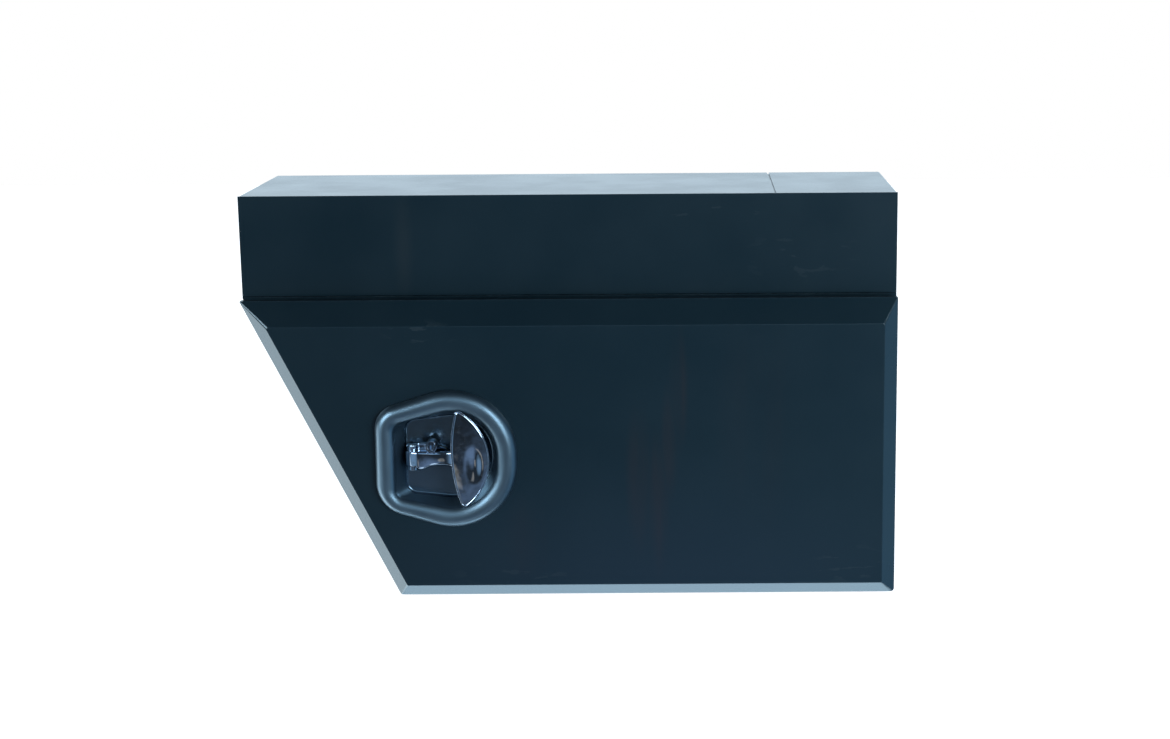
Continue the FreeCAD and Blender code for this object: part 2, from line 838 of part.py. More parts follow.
def rivet_group(label, seat_y, far_seat_y):
    """The row of rivets of one leaf: a domed head, a shank and a formed tail each."""
    body = new_body(label)
    shank, head = size.rivet_radius, size.rivet_head
    crown = head / 2
    head_y, far_head_y = seat_y - RIVET_CROWN, far_seat_y + RIVET_CROWN
    profile = [(0, head_y), (crown, head_y), (head, seat_y), (shank, seat_y)]
    profile += [(shank, far_seat_y), (head, far_seat_y), (crown, far_head_y), (0, far_head_y)]
    x = hinge_x - size.leaf_width * RIVET_ACROSS
    rivet = turned_along_y(body, "rivet", profile, x, size.rivet_base)
    repeat_up(body, rivet, size.rivet_pitch, RIVETS)
    return finish(body)


# ---------------------------------------------------------------- the door


FOLD_BACK = 0.6
STUD_CLEAR = 0.3


def stud_holes():
    return [(x, z, size.stud_radius + STUD_CLEAR) for x, z in stud_places()]


def door_pan():
    """The door: one pan with bevelled sides, a short skirt and a flange turned in behind."""
    body = new_body("door_pan")
    corners = (size.door_base_corner, size.door_top_corner)
    face_corners = (size.face_base_corner, size.face_top_corner)
    edge = door_discs(0, 0, *corners)
    face = door_discs(size.bevel, size.top_bevel, *face_corners)
    front_pad(body, "skirt", [edge], door_flange_y, door_edge_y)
    front_loft(body, "Additive", "bevels", edge, door_edge_y, face, face_y)
    inner_edge = door_discs(wall, wall, *corners)
    inner_face = door_discs(size.bevel + wall * FOLD_BACK, size.top_bevel + wall * FOLD_BACK, *face_corners)
    front_pocket(body, "skirt_hollow", [inner_edge], door_edge_y, door_flange_y - wall)
    front_loft(body, "Subtractive", "bevel_hollow", inner_edge, door_edge_y, inner_face, face_y + wall)
    opening = door_discs(size.door_flange, size.door_flange, size.door_base_corner, size.door_base_corner)
    front_pocket(body, "flange_opening", [opening], door_flange_y - wall, door_flange_y)
    front_pocket(body, "lock_cutout", [mouth_discs(CUTOUT_CLEAR)], face_y - 1, face_y + wall + 1)
    front_pocket(body, "stud_holes", stud_holes(), face_y - 1, face_y + wall + 1)
    rivet_rows(body, "rivet_hole", door_flange_y - wall - 1, door_flange_y + 1)
    round_edges(body, "face_bends", size.face_round, is_face_bend)
    return finish(body)


def is_face_bend(edge):
    """Whether an edge is part of the fold round the door's face, and not of the lock's holes."""
    middle = edge.BoundBox.Center
    discs = [(x.value, z.value, radius.value) for x, z, radius in tray_discs(Size.of(0))]
    by_lock = any(math.hypot(middle.x - x, middle.z - z) < radius for x, z, radius in discs)
    return lies_at(edge, "Y", face_y) and edge.BoundBox.DiagonalLength > 1 and not by_lock


def door_stiffener():
    """The upright hat-shaped stiffener bonded to the back of the door's face."""
    body = new_body("door_stiffener")
    middle = size.stiffener_right_of_middle
    seat = face_y + wall
    leaf = size.leaf_wall
    half, web, deep = size.stiffener_half, size.stiffener_web, size.stiffener_depth
    plan = [(middle - half, seat), (middle - half, seat + leaf), (middle - web - leaf, seat + leaf)]
    plan += [(middle - web - leaf, seat + deep), (middle + web + leaf, seat + deep)]
    plan += [(middle + web + leaf, seat + leaf), (middle + half, seat + leaf), (middle + half, seat)]
    plan += [(middle + web, seat), (middle + web, seat + deep - leaf)]
    plan += [(middle - web, seat + deep - leaf), (middle - web, seat)]
    base = size.door_lift + size.bevel + size.stiffener_short_of_fold
    plan_pad(body, "section", [plan], base, slant_top - size.top_bevel - size.stiffener_short_of_fold)
    return finish(body)


# ---------------------------------------------------------------- the lock tray on the door


CUTOUT_CLEAR = 1.5
GASKET_INSET = 2
DISH_TUCK = 0.4
STUD_PROUD = 6
NUT_HEIGHT = 3.2


def lock_tray():
    """The cast tray: a half-round ring in front and a sloping dish behind it."""
    body = new_body("lock_tray")
    front_pad(body, "ring", [tray_discs(0)], tray_back_y, ring_crest_y)
    outside = mouth_discs(1)
    back_of_floor = floor_discs(size.dish_wall)
    front_loft(body, "Additive", "dish", outside, tray_back_y, back_of_floor, dish_back_y)
    front_pocket(body, "mouth", [mouth_discs(0)], ring_crest_y, tray_back_y - 1)
    front_loft(body, "Subtractive", "hollow", mouth_discs(-DISH_TUCK), tray_back_y - 1, floor_discs(0), dish_floor_y)
    bush_hole = (spindle_x, spindle_z, size.spindle_radius + BUSH_WALL)
    front_pocket(body, "bush_hole", [bush_hole], dish_floor_y - 1, dish_back_y + 1)
    round_edges(body, "outer_round", size.ring_outer_round, is_outer_crest)
    round_edges(body, "inner_round", size.ring_inner_round, is_mouth_crest)
    return finish(body)


def tray_inset(edge):
    """How far the middle of an edge lies inside the tray's outline."""
    middle = edge.valueAt((edge.FirstParameter + edge.LastParameter) / 2)
    discs = [(x.value, z.value, radius.value) for x, z, radius in tray_discs(Size.of(0))]
    gaps = []
    for degrees in range(0, 360, 2):
        across, up = math.cos(math.radians(degrees)), math.sin(math.radians(degrees))
        outermost = max(x * across + z * up + radius for x, z, radius in discs)
        gaps.append(outermost - middle.x * across - middle.z * up)
    return min(gaps)


def is_outer_crest(edge):
    return lies_at(edge, "Y", ring_crest_y) and tray_inset(edge) < 1


def is_mouth_crest(edge):
    return lies_at(edge, "Y", ring_crest_y) and tray_inset(edge) > size.ring_outer_round.value + 1


def lock_gasket():
    body = new_body("lock_gasket")
    rings = [tray_discs(GASKET_INSET), mouth_discs(GASKET_INSET)]
    front_pad(body, "sheet", rings + stud_holes(), face_y, tray_back_y)
    return finish(body)


def lock_clamp_frame():
    """The steel frame behind the door's face that the studs pull against."""
    body = new_body("lock_clamp_frame")
    rings = [tray_discs(GASKET_INSET), mouth_discs(CUTOUT_CLEAR)]
    front_pad(body, "plate", rings + stud_holes(), face_y + wall + size.clamp_wall, face_y + wall)
    return finish(body)


def lock_studs():
    """The four studs of the tray, which pass through the door and the clamp frame."""
    body = new_body("lock_studs")
    studs = [(x, z, size.stud_radius) for x, z in stud_places()]
    front_pad(body, "studs", studs, face_y + wall + size.clamp_wall + STUD_PROUD, tray_back_y)
    return finish(body)


def hexagon(x, z, radius):
    """A hexagon with a flat at the top and bottom."""
    half, rise = radius / 2, radius * math.sqrt(0.75)
    upper = [(x + radius, z), (x + half, z + rise), (x - half, z + rise)]
    return upper + [(x - radius, z), (x - half, z - rise), (x + half, z - rise)]


def lock_nuts():
    body = new_body("lock_nuts")
    seat = face_y + wall + size.clamp_wall
    nuts = [hexagon(x, z, size.stud_radius * 2) for x, z in stud_places()]
    bores = [(x, z, size.stud_radius) for x, z in stud_places()]
    front_pad(body, "nuts", nuts + bores, seat + NUT_HEIGHT, seat)
    return finish(body)


BUSH_WALL = 4
BUSH_FLANGE = 8
BUSH_FLANGE_WALL = 4
BUSH_PROUD = 1.6
BUSH_BEHIND = 11


def spindle_bush():
    """The flanged bush in the dish's floor that the spindle turns in."""
    body = new_body("spindle_bush")
    bore = size.spindle_radius + size.spindle_play
    outside, flange = size.spindle_radius + BUSH_WALL, size.spindle_radius + BUSH_FLANGE
    front, back = dish_floor_y - BUSH_PROUD, dish_back_y + BUSH_BEHIND
    flange_back = dish_back_y + BUSH_FLANGE_WALL
    profile = [(bore, front), (outside, front), (outside, dish_back_y), (flange, dish_back_y)]
    profile += [(flange, flange_back), (outside, flange_back), (outside, back), (bore, back)]
    turned_along_y(body, "bush", profile, spindle_x, spindle_z)
    return finish(body)


# ---------------------------------------------------------------- the spindle

YOKE_CLEAR = 2.5
YOKE_WALL = 4
SPRING_ROOM = 4.6
SPRING_SEAT = 0.4
SHAFT_BEHIND = 9
cam_front_y = dish_back_y + BUSH_BEHIND + SPRING_ROOM
cam_back_y = cam_front_y + size.cam_wall


def handle_yoke():
    """The carrier in the dish: a plate on the spindle with two ears for the handle's pin."""
    body = new_body("handle_yoke")
    back = dish_floor_y - YOKE_CLEAR
    front = back - YOKE_WALL
    ear_in = size.hub_half_height + size.yoke_gap
    ear_out = ear_in + size.ear_wall
    corner = size.ear_radius
    plate = [
        (spindle_x, spindle_z, size.spindle_radius + BUSH_WALL),
        (yoke_pin_x, spindle_z + ear_out - corner, corner),
        (yoke_pin_x, spindle_z - ear_out + corner, corner),
    ]
    front_pad(body, "plate", [plate], back, front)
    root = rectangle(yoke_pin_x - corner, yoke_pin_x + corner, yoke_pin_y, front + 1)
    for side, low, high in (("upper", ear_in, ear_out), ("lower", -ear_out, -ear_in)):
        plan_pad(body, side + "_ear", [root], spindle_z + low, spindle_z + high)
        plan_pad(body, side + "_eye", [(yoke_pin_x, yoke_pin_y, corner)], spindle_z + low, spindle_z + high)
    bore = (yoke_pin_x, yoke_pin_y, size.yoke_pin_radius)
    plan_pocket(body, "pin_bore", [bore], spindle_z - ear_out - 1, spindle_z + ear_out + 1)
    return finish(body)


def yoke_pin():
    body = new_body("yoke_pin")
    radius = size.yoke_pin_radius
    end = size.hub_half_height + size.yoke_gap + size.ear_wall
    profile = [(0, -end - 1), (radius + 1, -end - 1), (radius + 1, -end), (radius, -end), (radius, end)]
    profile += [(radius + 1, end), (radius + 1, end + 1), (0, end + 1)]
    lifted = [(r, spindle_z + z) for r, z in profile]
    turned_along_z(body, "pin", lifted, yoke_pin_x, yoke_pin_y)
    return finish(body)


def spindle_shaft():
    body = new_body("spindle_shaft")
    front, back = dish_floor_y - YOKE_CLEAR, cam_back_y + SHAFT_BEHIND
    radius = size.spindle_radius
    profile = [(0, front), (radius, front), (radius, back - 1), (radius - 1, back), (0, back)]
    turned_along_y(body, "shaft", profile, spindle_x, spindle_z)
    return finish(body)


def lock_cam():
    """The cam: it points square to the slanted frame face and bears behind it when locked."""
    body = new_body("lock_cam")
    reach = size.cam_length
    tip = (spindle_x - slant_top / slant_length * reach, spindle_z - size.slant_run / slant_length * reach)
    discs = [(spindle_x, spindle_z, size.cam_hub), (tip[0], tip[1], size.cam_tip)]
    bore = (spindle_x, spindle_z, size.spindle_radius)
    front_pad(body, "blade", [discs, bore], cam_back_y, cam_front_y)
    return finish(body)


CAM_WASHER_WALL = 1.2
CAM_NUT_WALL = 6
CAM_NUT_RADIUS = 9.2


def ring_piece(label, front, back):
    """A flat ring on the spindle."""
    body = new_body(label)
    inner, outer = size.spindle_radius, size.spindle_radius + BUSH_WALL
    profile = [(inner, front), (outer, front), (outer, back), (inner, back)]
    turned_along_y(body, "ring", profile, spindle_x, spindle_z)
    return finish(body)


def cam_nut():
    body = new_body("cam_nut")
    front = cam_back_y + CAM_WASHER_WALL
    loops = [hexagon(spindle_x, spindle_z, Size.of(CAM_NUT_RADIUS)), (spindle_x, spindle_z, size.spindle_radius)]
    front_pad(body, "nut", loops, front + CAM_NUT_WALL, front)
    return finish(body)


# ---------------------------------------------------------------- the folding handle and its key lock

STEM_SUNK = 6
STEM_DEEP = 10
PADDLE_SUNK = 0.2

stem_front_y = ring_crest_y + STEM_SUNK
stem_back_y = stem_front_y + STEM_DEEP
paddle_front_y = ring_crest_y + PADDLE_SUNK
paddle_back_y = paddle_front_y + size.paddle_wall
paddle_x = tray_x - size.paddle_shift


def draw_half_moon(sketch):
    """The paddle's outline: a round arc on the right and a flatter arc, leaning a little, on the left."""
    radius, bow = size.paddle_radius, size.paddle_bow
    bow_x, bow_z = paddle_x + size.paddle_edge + bow, spindle_z + size.paddle_bow_rise
    centre = FreeCAD.Vector(paddle_x.value, spindle_z.value, 0)
    far = FreeCAD.Vector(bow_x.value, bow_z.value, 0)
    apart, lean = centre.distanceToPoint(far), math.atan2(far.y - centre.y, far.x - centre.x)
    meet = (radius.value ** 2 - bow.value ** 2 + apart ** 2) / (2 * apart)
    rise = math.sqrt(radius.value ** 2 - meet ** 2)
    right = math.atan2(rise, meet)
    left = math.atan2(rise, meet - apart)
    upright = FreeCAD.Vector(0, 0, 1)
    round_side = Part.ArcOfCircle(Part.Circle(centre, upright, radius.value), lean - right, lean + right)
    flat_side = Part.ArcOfCircle(Part.Circle(far, upright, bow.value), lean + left, lean + 2 * math.pi - left)
    rim = sketch.addGeometry(round_side)
    edge = sketch.addGeometry(flat_side)
    sketch.addConstraint(Sketcher.Constraint("Coincident", rim, 2, edge, 1))
    sketch.addConstraint(Sketcher.Constraint("Coincident", edge, 2, rim, 1))
    for arc, x, z, amount in ((rim, paddle_x, spindle_z, radius), (edge, bow_x, bow_z, bow)):
        fix(sketch, "DistanceX", arc, 3, x)
        fix(sketch, "DistanceY", arc, 3, z)
        fix(sketch, "Radius", arc, 3, amount)


FLARE_CLEAR = 0.5
FLARE_RUN = 5.5
FLARE_END = 15
STEM_UNDER_PADDLE = 6
PADDLE_ROOT = 12
WEB_SUNK = 4
WEB_RISE = 3
BOSS_PROUD = 1
BOSS_DEEP = 16
PADDLE_EDGE_ROUND = 1.2
KEY_BARREL_PROUD = 1.6
KEY_BARREL_DEEP = 15
KEY_PLUG_PROUD = 2
PLUG_CHAMFER = 0.5
KEYWAY_HALF_WIDTH = 0.8
KEYWAY_HALF_HEIGHT = 2.8
KEYWAY_DEEP = 9


def folding_handle():
    """The handle in one casting: hub, stem flared over the ears, key boss and half-moon paddle."""
    body = new_body("folding_handle")
    tall = size.hub_half_height
    head, foot, flare = spindle_z + tall, spindle_z - tall, spindle_z - size.stem_flare
    hub = (yoke_pin_x, yoke_pin_y, size.hub_radius)
    plan_pad(body, "hub", [hub], foot, head)
    stem_end = paddle_x + size.paddle_edge + STEM_UNDER_PADDLE
    flare_start = yoke_pin_x + size.ear_radius + FLARE_CLEAR
    stem = [(yoke_pin_x, foot), (flare_start, foot), (flare_start, flare), (flare_start + FLARE_RUN, flare)]
    stem += [(flare_start + FLARE_END, foot), (stem_end, foot), (stem_end, head), (yoke_pin_x, head)]
    front_pad(body, "stem", [stem], stem_back_y, stem_front_y)
    web = rectangle(flare_start, key_x, spindle_z, key_z + WEB_RISE)
    front_pad(body, "key_web", [web], stem_back_y, stem_front_y + WEB_SUNK)
    boss = (key_x, key_z, size.key_boss_radius)
    front_pad(body, "key_boss", [boss], stem_front_y + BOSS_DEEP, stem_front_y - BOSS_PROUD)
    root = rectangle(stem_end - PADDLE_ROOT, stem_end, foot, head)
    front_pad(body, "paddle_root", [root], stem_front_y, paddle_back_y)
    sketch = new_sketch(body, "paddle_outline", "XZ_Plane", (0, 0, -paddle_back_y))
    draw_half_moon(sketch)
    extrude(body, "Pad", "paddle", sketch, size.paddle_wall)
    pin_bore = (yoke_pin_x, yoke_pin_y, size.yoke_pin_radius + size.spindle_play)
    plan_pocket(body, "pin_bore", [pin_bore], flare - 1, head + 1)
    barrel_bore = (key_x, key_z, size.barrel_radius)
    front_pocket(body, "barrel_bore", [barrel_bore], stem_front_y - BOSS_PROUD - 1, stem_front_y + BOSS_DEEP + 1)
    round_edges(body, "paddle_tips", size.paddle_tip, is_paddle_tip)
    round_edges(body, "paddle_rim", PADDLE_EDGE_ROUND, is_paddle_rim)
    return finish(body)


def is_paddle_rim(edge):
    return lies_at(edge, "Y", paddle_front_y) and edge.BoundBox.ZLength > 4


def is_paddle_tip(edge):
    """Whether an edge is one of the two sharp corners of the half moon."""
    box = edge.BoundBox
    upright = box.XLength + box.ZLength < 0.01 and abs(box.YLength - size.paddle_wall.value) < 0.01
    return upright and abs(box.Center.z - spindle_z.value) > size.paddle_radius.value / 2


def key_barrel():
    """The fixed barrel of the key lock, pressed into the boss."""
    body = new_body("key_barrel")
    inner, outer = size.plug_radius + size.spindle_play, size.barrel_radius
    front, back = stem_front_y - KEY_BARREL_PROUD, stem_front_y + KEY_BARREL_DEEP
    profile = [(inner, front), (outer, front), (outer, back), (inner, back)]
    turned_along_y(body, "barrel", profile, key_x, key_z)
    return finish(body)


def key_plug():
    """The plug that the key turns, with its keyway."""
    body = new_body("key_plug")
    front, back, radius = stem_front_y - KEY_PLUG_PROUD, stem_front_y + KEY_BARREL_DEEP, size.plug_radius
    nose = front + PLUG_CHAMFER
    profile = [(0, front), (radius - PLUG_CHAMFER, front), (radius, nose), (radius, back), (0, back)]
    turned_along_y(body, "plug", profile, key_x, key_z)
    left, low = key_x - KEYWAY_HALF_WIDTH, key_z - KEYWAY_HALF_HEIGHT
    keyway = rectangle(left, left + 2 * KEYWAY_HALF_WIDTH, low, low + 2 * KEYWAY_HALF_HEIGHT)
    front_pocket(body, "keyway", [keyway], front - 1, front + KEYWAY_DEEP)
    return finish(body)


# ---------------------------------------------------------------- everything, checked and written out


def build():
    body_wrap_main()
    body_wrap_end()
    roof_joint_strip()
    back_panel()
    backing_plate("backing_plate_left", -1)
    backing_plate("backing_plate_right", 1)
    front_fascia()
    header_channel()
    frame_strip_left()
    frame_strip_bottom()
    frame_strip_right()
    roof_brace()
    door_seal()
    lock_keeper()
    hinge_leaf_body()
    hinge_pin()
    leaf_front = frame_y - size.leaf_wall
    rivet_group("hinge_rivets_body", leaf_front, flange_back_y)
    door_pan()
    door_stiffener()
    hinge_leaf_door()
    leaf_back = door_flange_y + size.leaf_wall
    rivet_group("hinge_rivets_door", door_flange_y - wall, leaf_back)
    lock_tray()
    lock_gasket()
    lock_clamp_frame()
    lock_studs()
    lock_nuts()
    spindle_bush()
    handle_yoke()
    yoke_pin()
    spindle_shaft()
    ring_piece("spindle_spring_washer", dish_back_y + BUSH_BEHIND + SPRING_SEAT, cam_front_y)
    lock_cam()
    ring_piece("cam_washer", cam_back_y, cam_back_y + CAM_WASHER_WALL)
    cam_nut()
    folding_handle()
    key_barrel()
    key_plug()


def check():
    """Stops if any object failed or any sub-part has no valid shape."""
    doc.recompute()
    for thing in doc.Objects:
        if "Invalid" in thing.State or "Error" in thing.State:
            raise RuntimeError(f"{thing.Label} failed: {thing.State}")
    for sub_part in finished:
        if sub_part.Shape.isNull() or not sub_part.Shape.isValid() or not sub_part.Shape.Solids:
            raise RuntimeError(f"{sub_part.Label} has no valid shape")


def write():
    os.makedirs("parts", exist_ok=True)
    for sub_part in finished:
        sub_part.Shape.exportStep(f"parts/{sub_part.Label}.step")
        box = sub_part.Shape.BoundBox
        volume = sub_part.Shape.Volume / 1000
        print(
            f"{sub_part.Label}: {len(sub_part.Shape.Solids)} solid(s), {volume:.2f} cm3, "
            f"x {box.XMin:.1f}..{box.XMax:.1f}, y {box.YMin:.1f}..{box.YMax:.1f}, z {box.ZMin:.1f}..{box.ZMax:.1f}"
        )


build()
check()
write()
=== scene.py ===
import json
import math

import bmesh
import bpy
from mathutils import Matrix, Vector


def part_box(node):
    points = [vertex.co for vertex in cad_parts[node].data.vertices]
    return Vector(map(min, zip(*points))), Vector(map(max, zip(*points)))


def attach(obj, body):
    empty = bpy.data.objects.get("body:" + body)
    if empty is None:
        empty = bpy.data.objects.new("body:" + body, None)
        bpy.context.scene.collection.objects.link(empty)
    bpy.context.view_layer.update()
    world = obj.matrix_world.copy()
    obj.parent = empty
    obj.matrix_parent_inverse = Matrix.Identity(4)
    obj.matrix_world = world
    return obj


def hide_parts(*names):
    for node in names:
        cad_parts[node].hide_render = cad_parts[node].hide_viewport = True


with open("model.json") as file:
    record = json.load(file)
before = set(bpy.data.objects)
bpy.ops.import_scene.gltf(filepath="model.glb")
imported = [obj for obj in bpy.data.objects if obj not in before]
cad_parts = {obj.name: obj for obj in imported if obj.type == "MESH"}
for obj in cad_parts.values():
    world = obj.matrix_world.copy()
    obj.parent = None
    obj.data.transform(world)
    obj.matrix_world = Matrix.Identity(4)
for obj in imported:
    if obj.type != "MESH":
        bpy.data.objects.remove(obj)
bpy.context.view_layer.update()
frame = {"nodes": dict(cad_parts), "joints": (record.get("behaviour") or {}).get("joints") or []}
NODES = frame["nodes"]

# ---------------------------------------------------------------- camera

CAMERA_PLACE = Vector((0.1297, -2.1942, 0.6866))
CAMERA_PITCH = 0.2038
CAMERA_YAW = -0.0005
CAMERA_ROLL = -0.0067
CAMERA_LENS = 61.589
CAMERA_SHIFT = -0.0899


def make_camera():
    data = bpy.data.cameras.new("camera")
    data.sensor_width = 36.0
    data.lens = CAMERA_LENS
    data.shift_x = CAMERA_SHIFT
    data.dof.use_dof = False
    camera = bpy.data.objects.new("camera", data)
    bpy.context.scene.collection.objects.link(camera)
    flat = math.cos(CAMERA_PITCH)
    forward = Vector((math.sin(CAMERA_YAW) * flat, math.cos(CAMERA_YAW) * flat, -math.sin(CAMERA_PITCH)))
    right = Vector((math.cos(CAMERA_YAW), -math.sin(CAMERA_YAW), 0))
    up = right.cross(forward)
    turned_right = math.cos(CAMERA_ROLL) * right + math.sin(CAMERA_ROLL) * up
    turned_up = math.cos(CAMERA_ROLL) * up - math.sin(CAMERA_ROLL) * right
    axes = Matrix((turned_right, turned_up, -forward)).transposed()
    camera.matrix_world = Matrix.Translation(CAMERA_PLACE) @ axes.to_4x4()
    bpy.context.scene.camera = camera


make_camera()

# ---------------------------------------------------------------- studio

ROOM_DARK = (0.026, 0.038, 0.050)
# Lights of the room: (direction, degrees off it at full strength, degrees off it where they end, colour).
ROOM_LIGHTS = (
    ((0.0, 1.0, 0.10), 40, 75, (1.02, 1.27, 1.46)),
    ((0.0, 0.45, -0.89), 26, 46, (2.35, 3.35, 4.1)),
    ((-0.85, 0.22, -0.50), 20, 42, (2.7, 3.4, 3.8)),
    ((0.98, 0.05, -0.25), 24, 50, (0.22, 0.47, 0.74)),
    ((0.14, -0.80, -0.58), 8, 30, (0.16, 0.25, 0.38)),
    ((-0.25, -0.92, -0.31), 2, 6, (0.34, 0.32, 0.27)),
    ((0.02, -0.99, 0.04), 2, 8, (0.30, 0.28, 0.24)),
    ((0.0, -0.93, 0.35), 4, 17, (0.4, 0.75, 1.1)),
    ((-0.72, -0.65, -0.22), 6, 26, (0.2, 0.35, 0.5)),
    ((0.0, -0.55, -0.83), 5, 10, (1.4, 1.8, 2.1)),
)

FLOOR_HALF = 4.0
STUDIO_AIM = (0, 0, 0.2)
FILL_AIM = (0.1, -0.1, 0.15)
# Area lights: (name, place, aim, width, height, watts, colour, diffuse, glossy). The last two say whether a
# light falls on the surfaces' own colour and whether it shows in their gloss.
AREA_LIGHTS = (
    ("left_softbox", (-2.2, -2.2, 1.15), STUDIO_AIM, 1.4, 1.2, 70, (0.60, 0.84, 1.0), False, True),
    ("right_softbox", (1.6, -2.5, 1.15), STUDIO_AIM, 1.2, 1.2, 65, (0.60, 0.84, 1.0), False, True),
    ("fill", (1.5, -2.1, 0.25), FILL_AIM, 1.2, 1.2, 46, (0.84, 0.94, 1.0), True, False),
)


def make_world():
    """A white room to the camera; to the object, a dark studio with broad soft lights."""
    world = bpy.data.worlds.new("studio")
    bpy.context.scene.world = world
    world.use_nodes = True
    tree = world.node_tree
    tree.nodes.clear()
    out = tree.nodes.new("ShaderNodeOutputWorld")
    mix = tree.nodes.new("ShaderNodeMixShader")
    path = tree.nodes.new("ShaderNodeLightPath")
    seen = tree.nodes.new("ShaderNodeBackground")
    seen.inputs["Color"].default_value = (1, 1, 1, 1)
    room = tree.nodes.new("ShaderNodeBackground")
    place = tree.nodes.new("ShaderNodeTexCoord")
    total = None
    for direction, full, end, colour in ROOM_LIGHTS:
        facing = tree.nodes.new("ShaderNodeVectorMath")
        facing.operation = "DOT_PRODUCT"
        facing.inputs[1].default_value = Vector(direction).normalized()
        tree.links.new(place.outputs["Generated"], facing.inputs[0])
        fade = tree.nodes.new("ShaderNodeMapRange")
        fade.interpolation_type = "SMOOTHSTEP"
        fade.inputs["From Min"].default_value = math.cos(math.radians(end))
        fade.inputs["From Max"].default_value = math.cos(math.radians(full))
        tree.links.new(facing.outputs["Value"], fade.inputs["Value"])
        light = tree.nodes.new("ShaderNodeVectorMath")
        light.operation = "MULTIPLY_ADD"
        light.inputs[1].default_value = colour
        light.inputs[2].default_value = ROOM_DARK
        tree.links.new(fade.outputs[0], light.inputs[0])
        if total is not None:
            tree.links.new(total, light.inputs[2])
        total = light.outputs[0]
    tree.links.new(total, room.inputs["Color"])
    tree.links.new(path.outputs["Is Camera Ray"], mix.inputs[0])
    tree.links.new(room.outputs[0], mix.inputs[1])
    tree.links.new(seen.outputs[0], mix.inputs[2])
    tree.links.new(mix.outputs[0], out.inputs[0])


def make_floor():
    """A white sweep of paper that the camera sees; it throws no light of its own on the object."""
    mesh = bpy.data.meshes.new("floor")
    shape = bmesh.new()
    corners = ((-1, -1), (1, -1), (1, 1), (-1, 1))
    shape.faces.new([shape.verts.new((x * FLOOR_HALF, y * FLOOR_HALF, 0)) for x, y in corners])
    shape.to_mesh(mesh)
    shape.free()
    floor = bpy.data.objects.new("floor", mesh)
    bpy.context.scene.collection.objects.link(floor)
    paper = bpy.data.materials.new("white_paper")
    paper.use_nodes = True
    surface = paper.node_tree.nodes["Principled BSDF"]
    surface.inputs["Base Color"].default_value = (0.9, 0.9, 0.9, 1)
    surface.inputs["Roughness"].default_value = 0.9
    surface.inputs["Emission Color"].default_value = (1.0, 1.0, 1.0, 1)
    surface.inputs["Emission Strength"].default_value = 1.0
    mesh.materials.append(paper)
    floor.visible_diffuse = False
    floor.visible_glossy = False
    floor.visible_shadow = False


def soft_light(name, place, aim, width, height, watts, colour, diffuse, glossy):
    data = bpy.data.lights.new(name, "AREA")
    data.shape = "RECTANGLE"
    data.size = width
    data.size_y = height
    data.energy = watts
    data.color = colour
    light = bpy.data.objects.new(name, data)
    bpy.context.scene.collection.objects.link(light)
    light.location = place
    light.rotation_mode = "QUATERNION"
    light.rotation_quaternion = (Vector(aim) - Vector(place)).to_track_quat("-Z", "Y")
    light.visible_camera = False
    light.visible_diffuse = diffuse
    light.visible_glossy = glossy


def make_studio():
    make_world()
    make_floor()
    for light in AREA_LIGHTS:
        soft_light(*light)
    bpy.context.scene.view_settings.view_transform = "Standard"
    bpy.context.scene.view_settings.look = "None"


make_studio()

# ---------------------------------------------------------------- materials


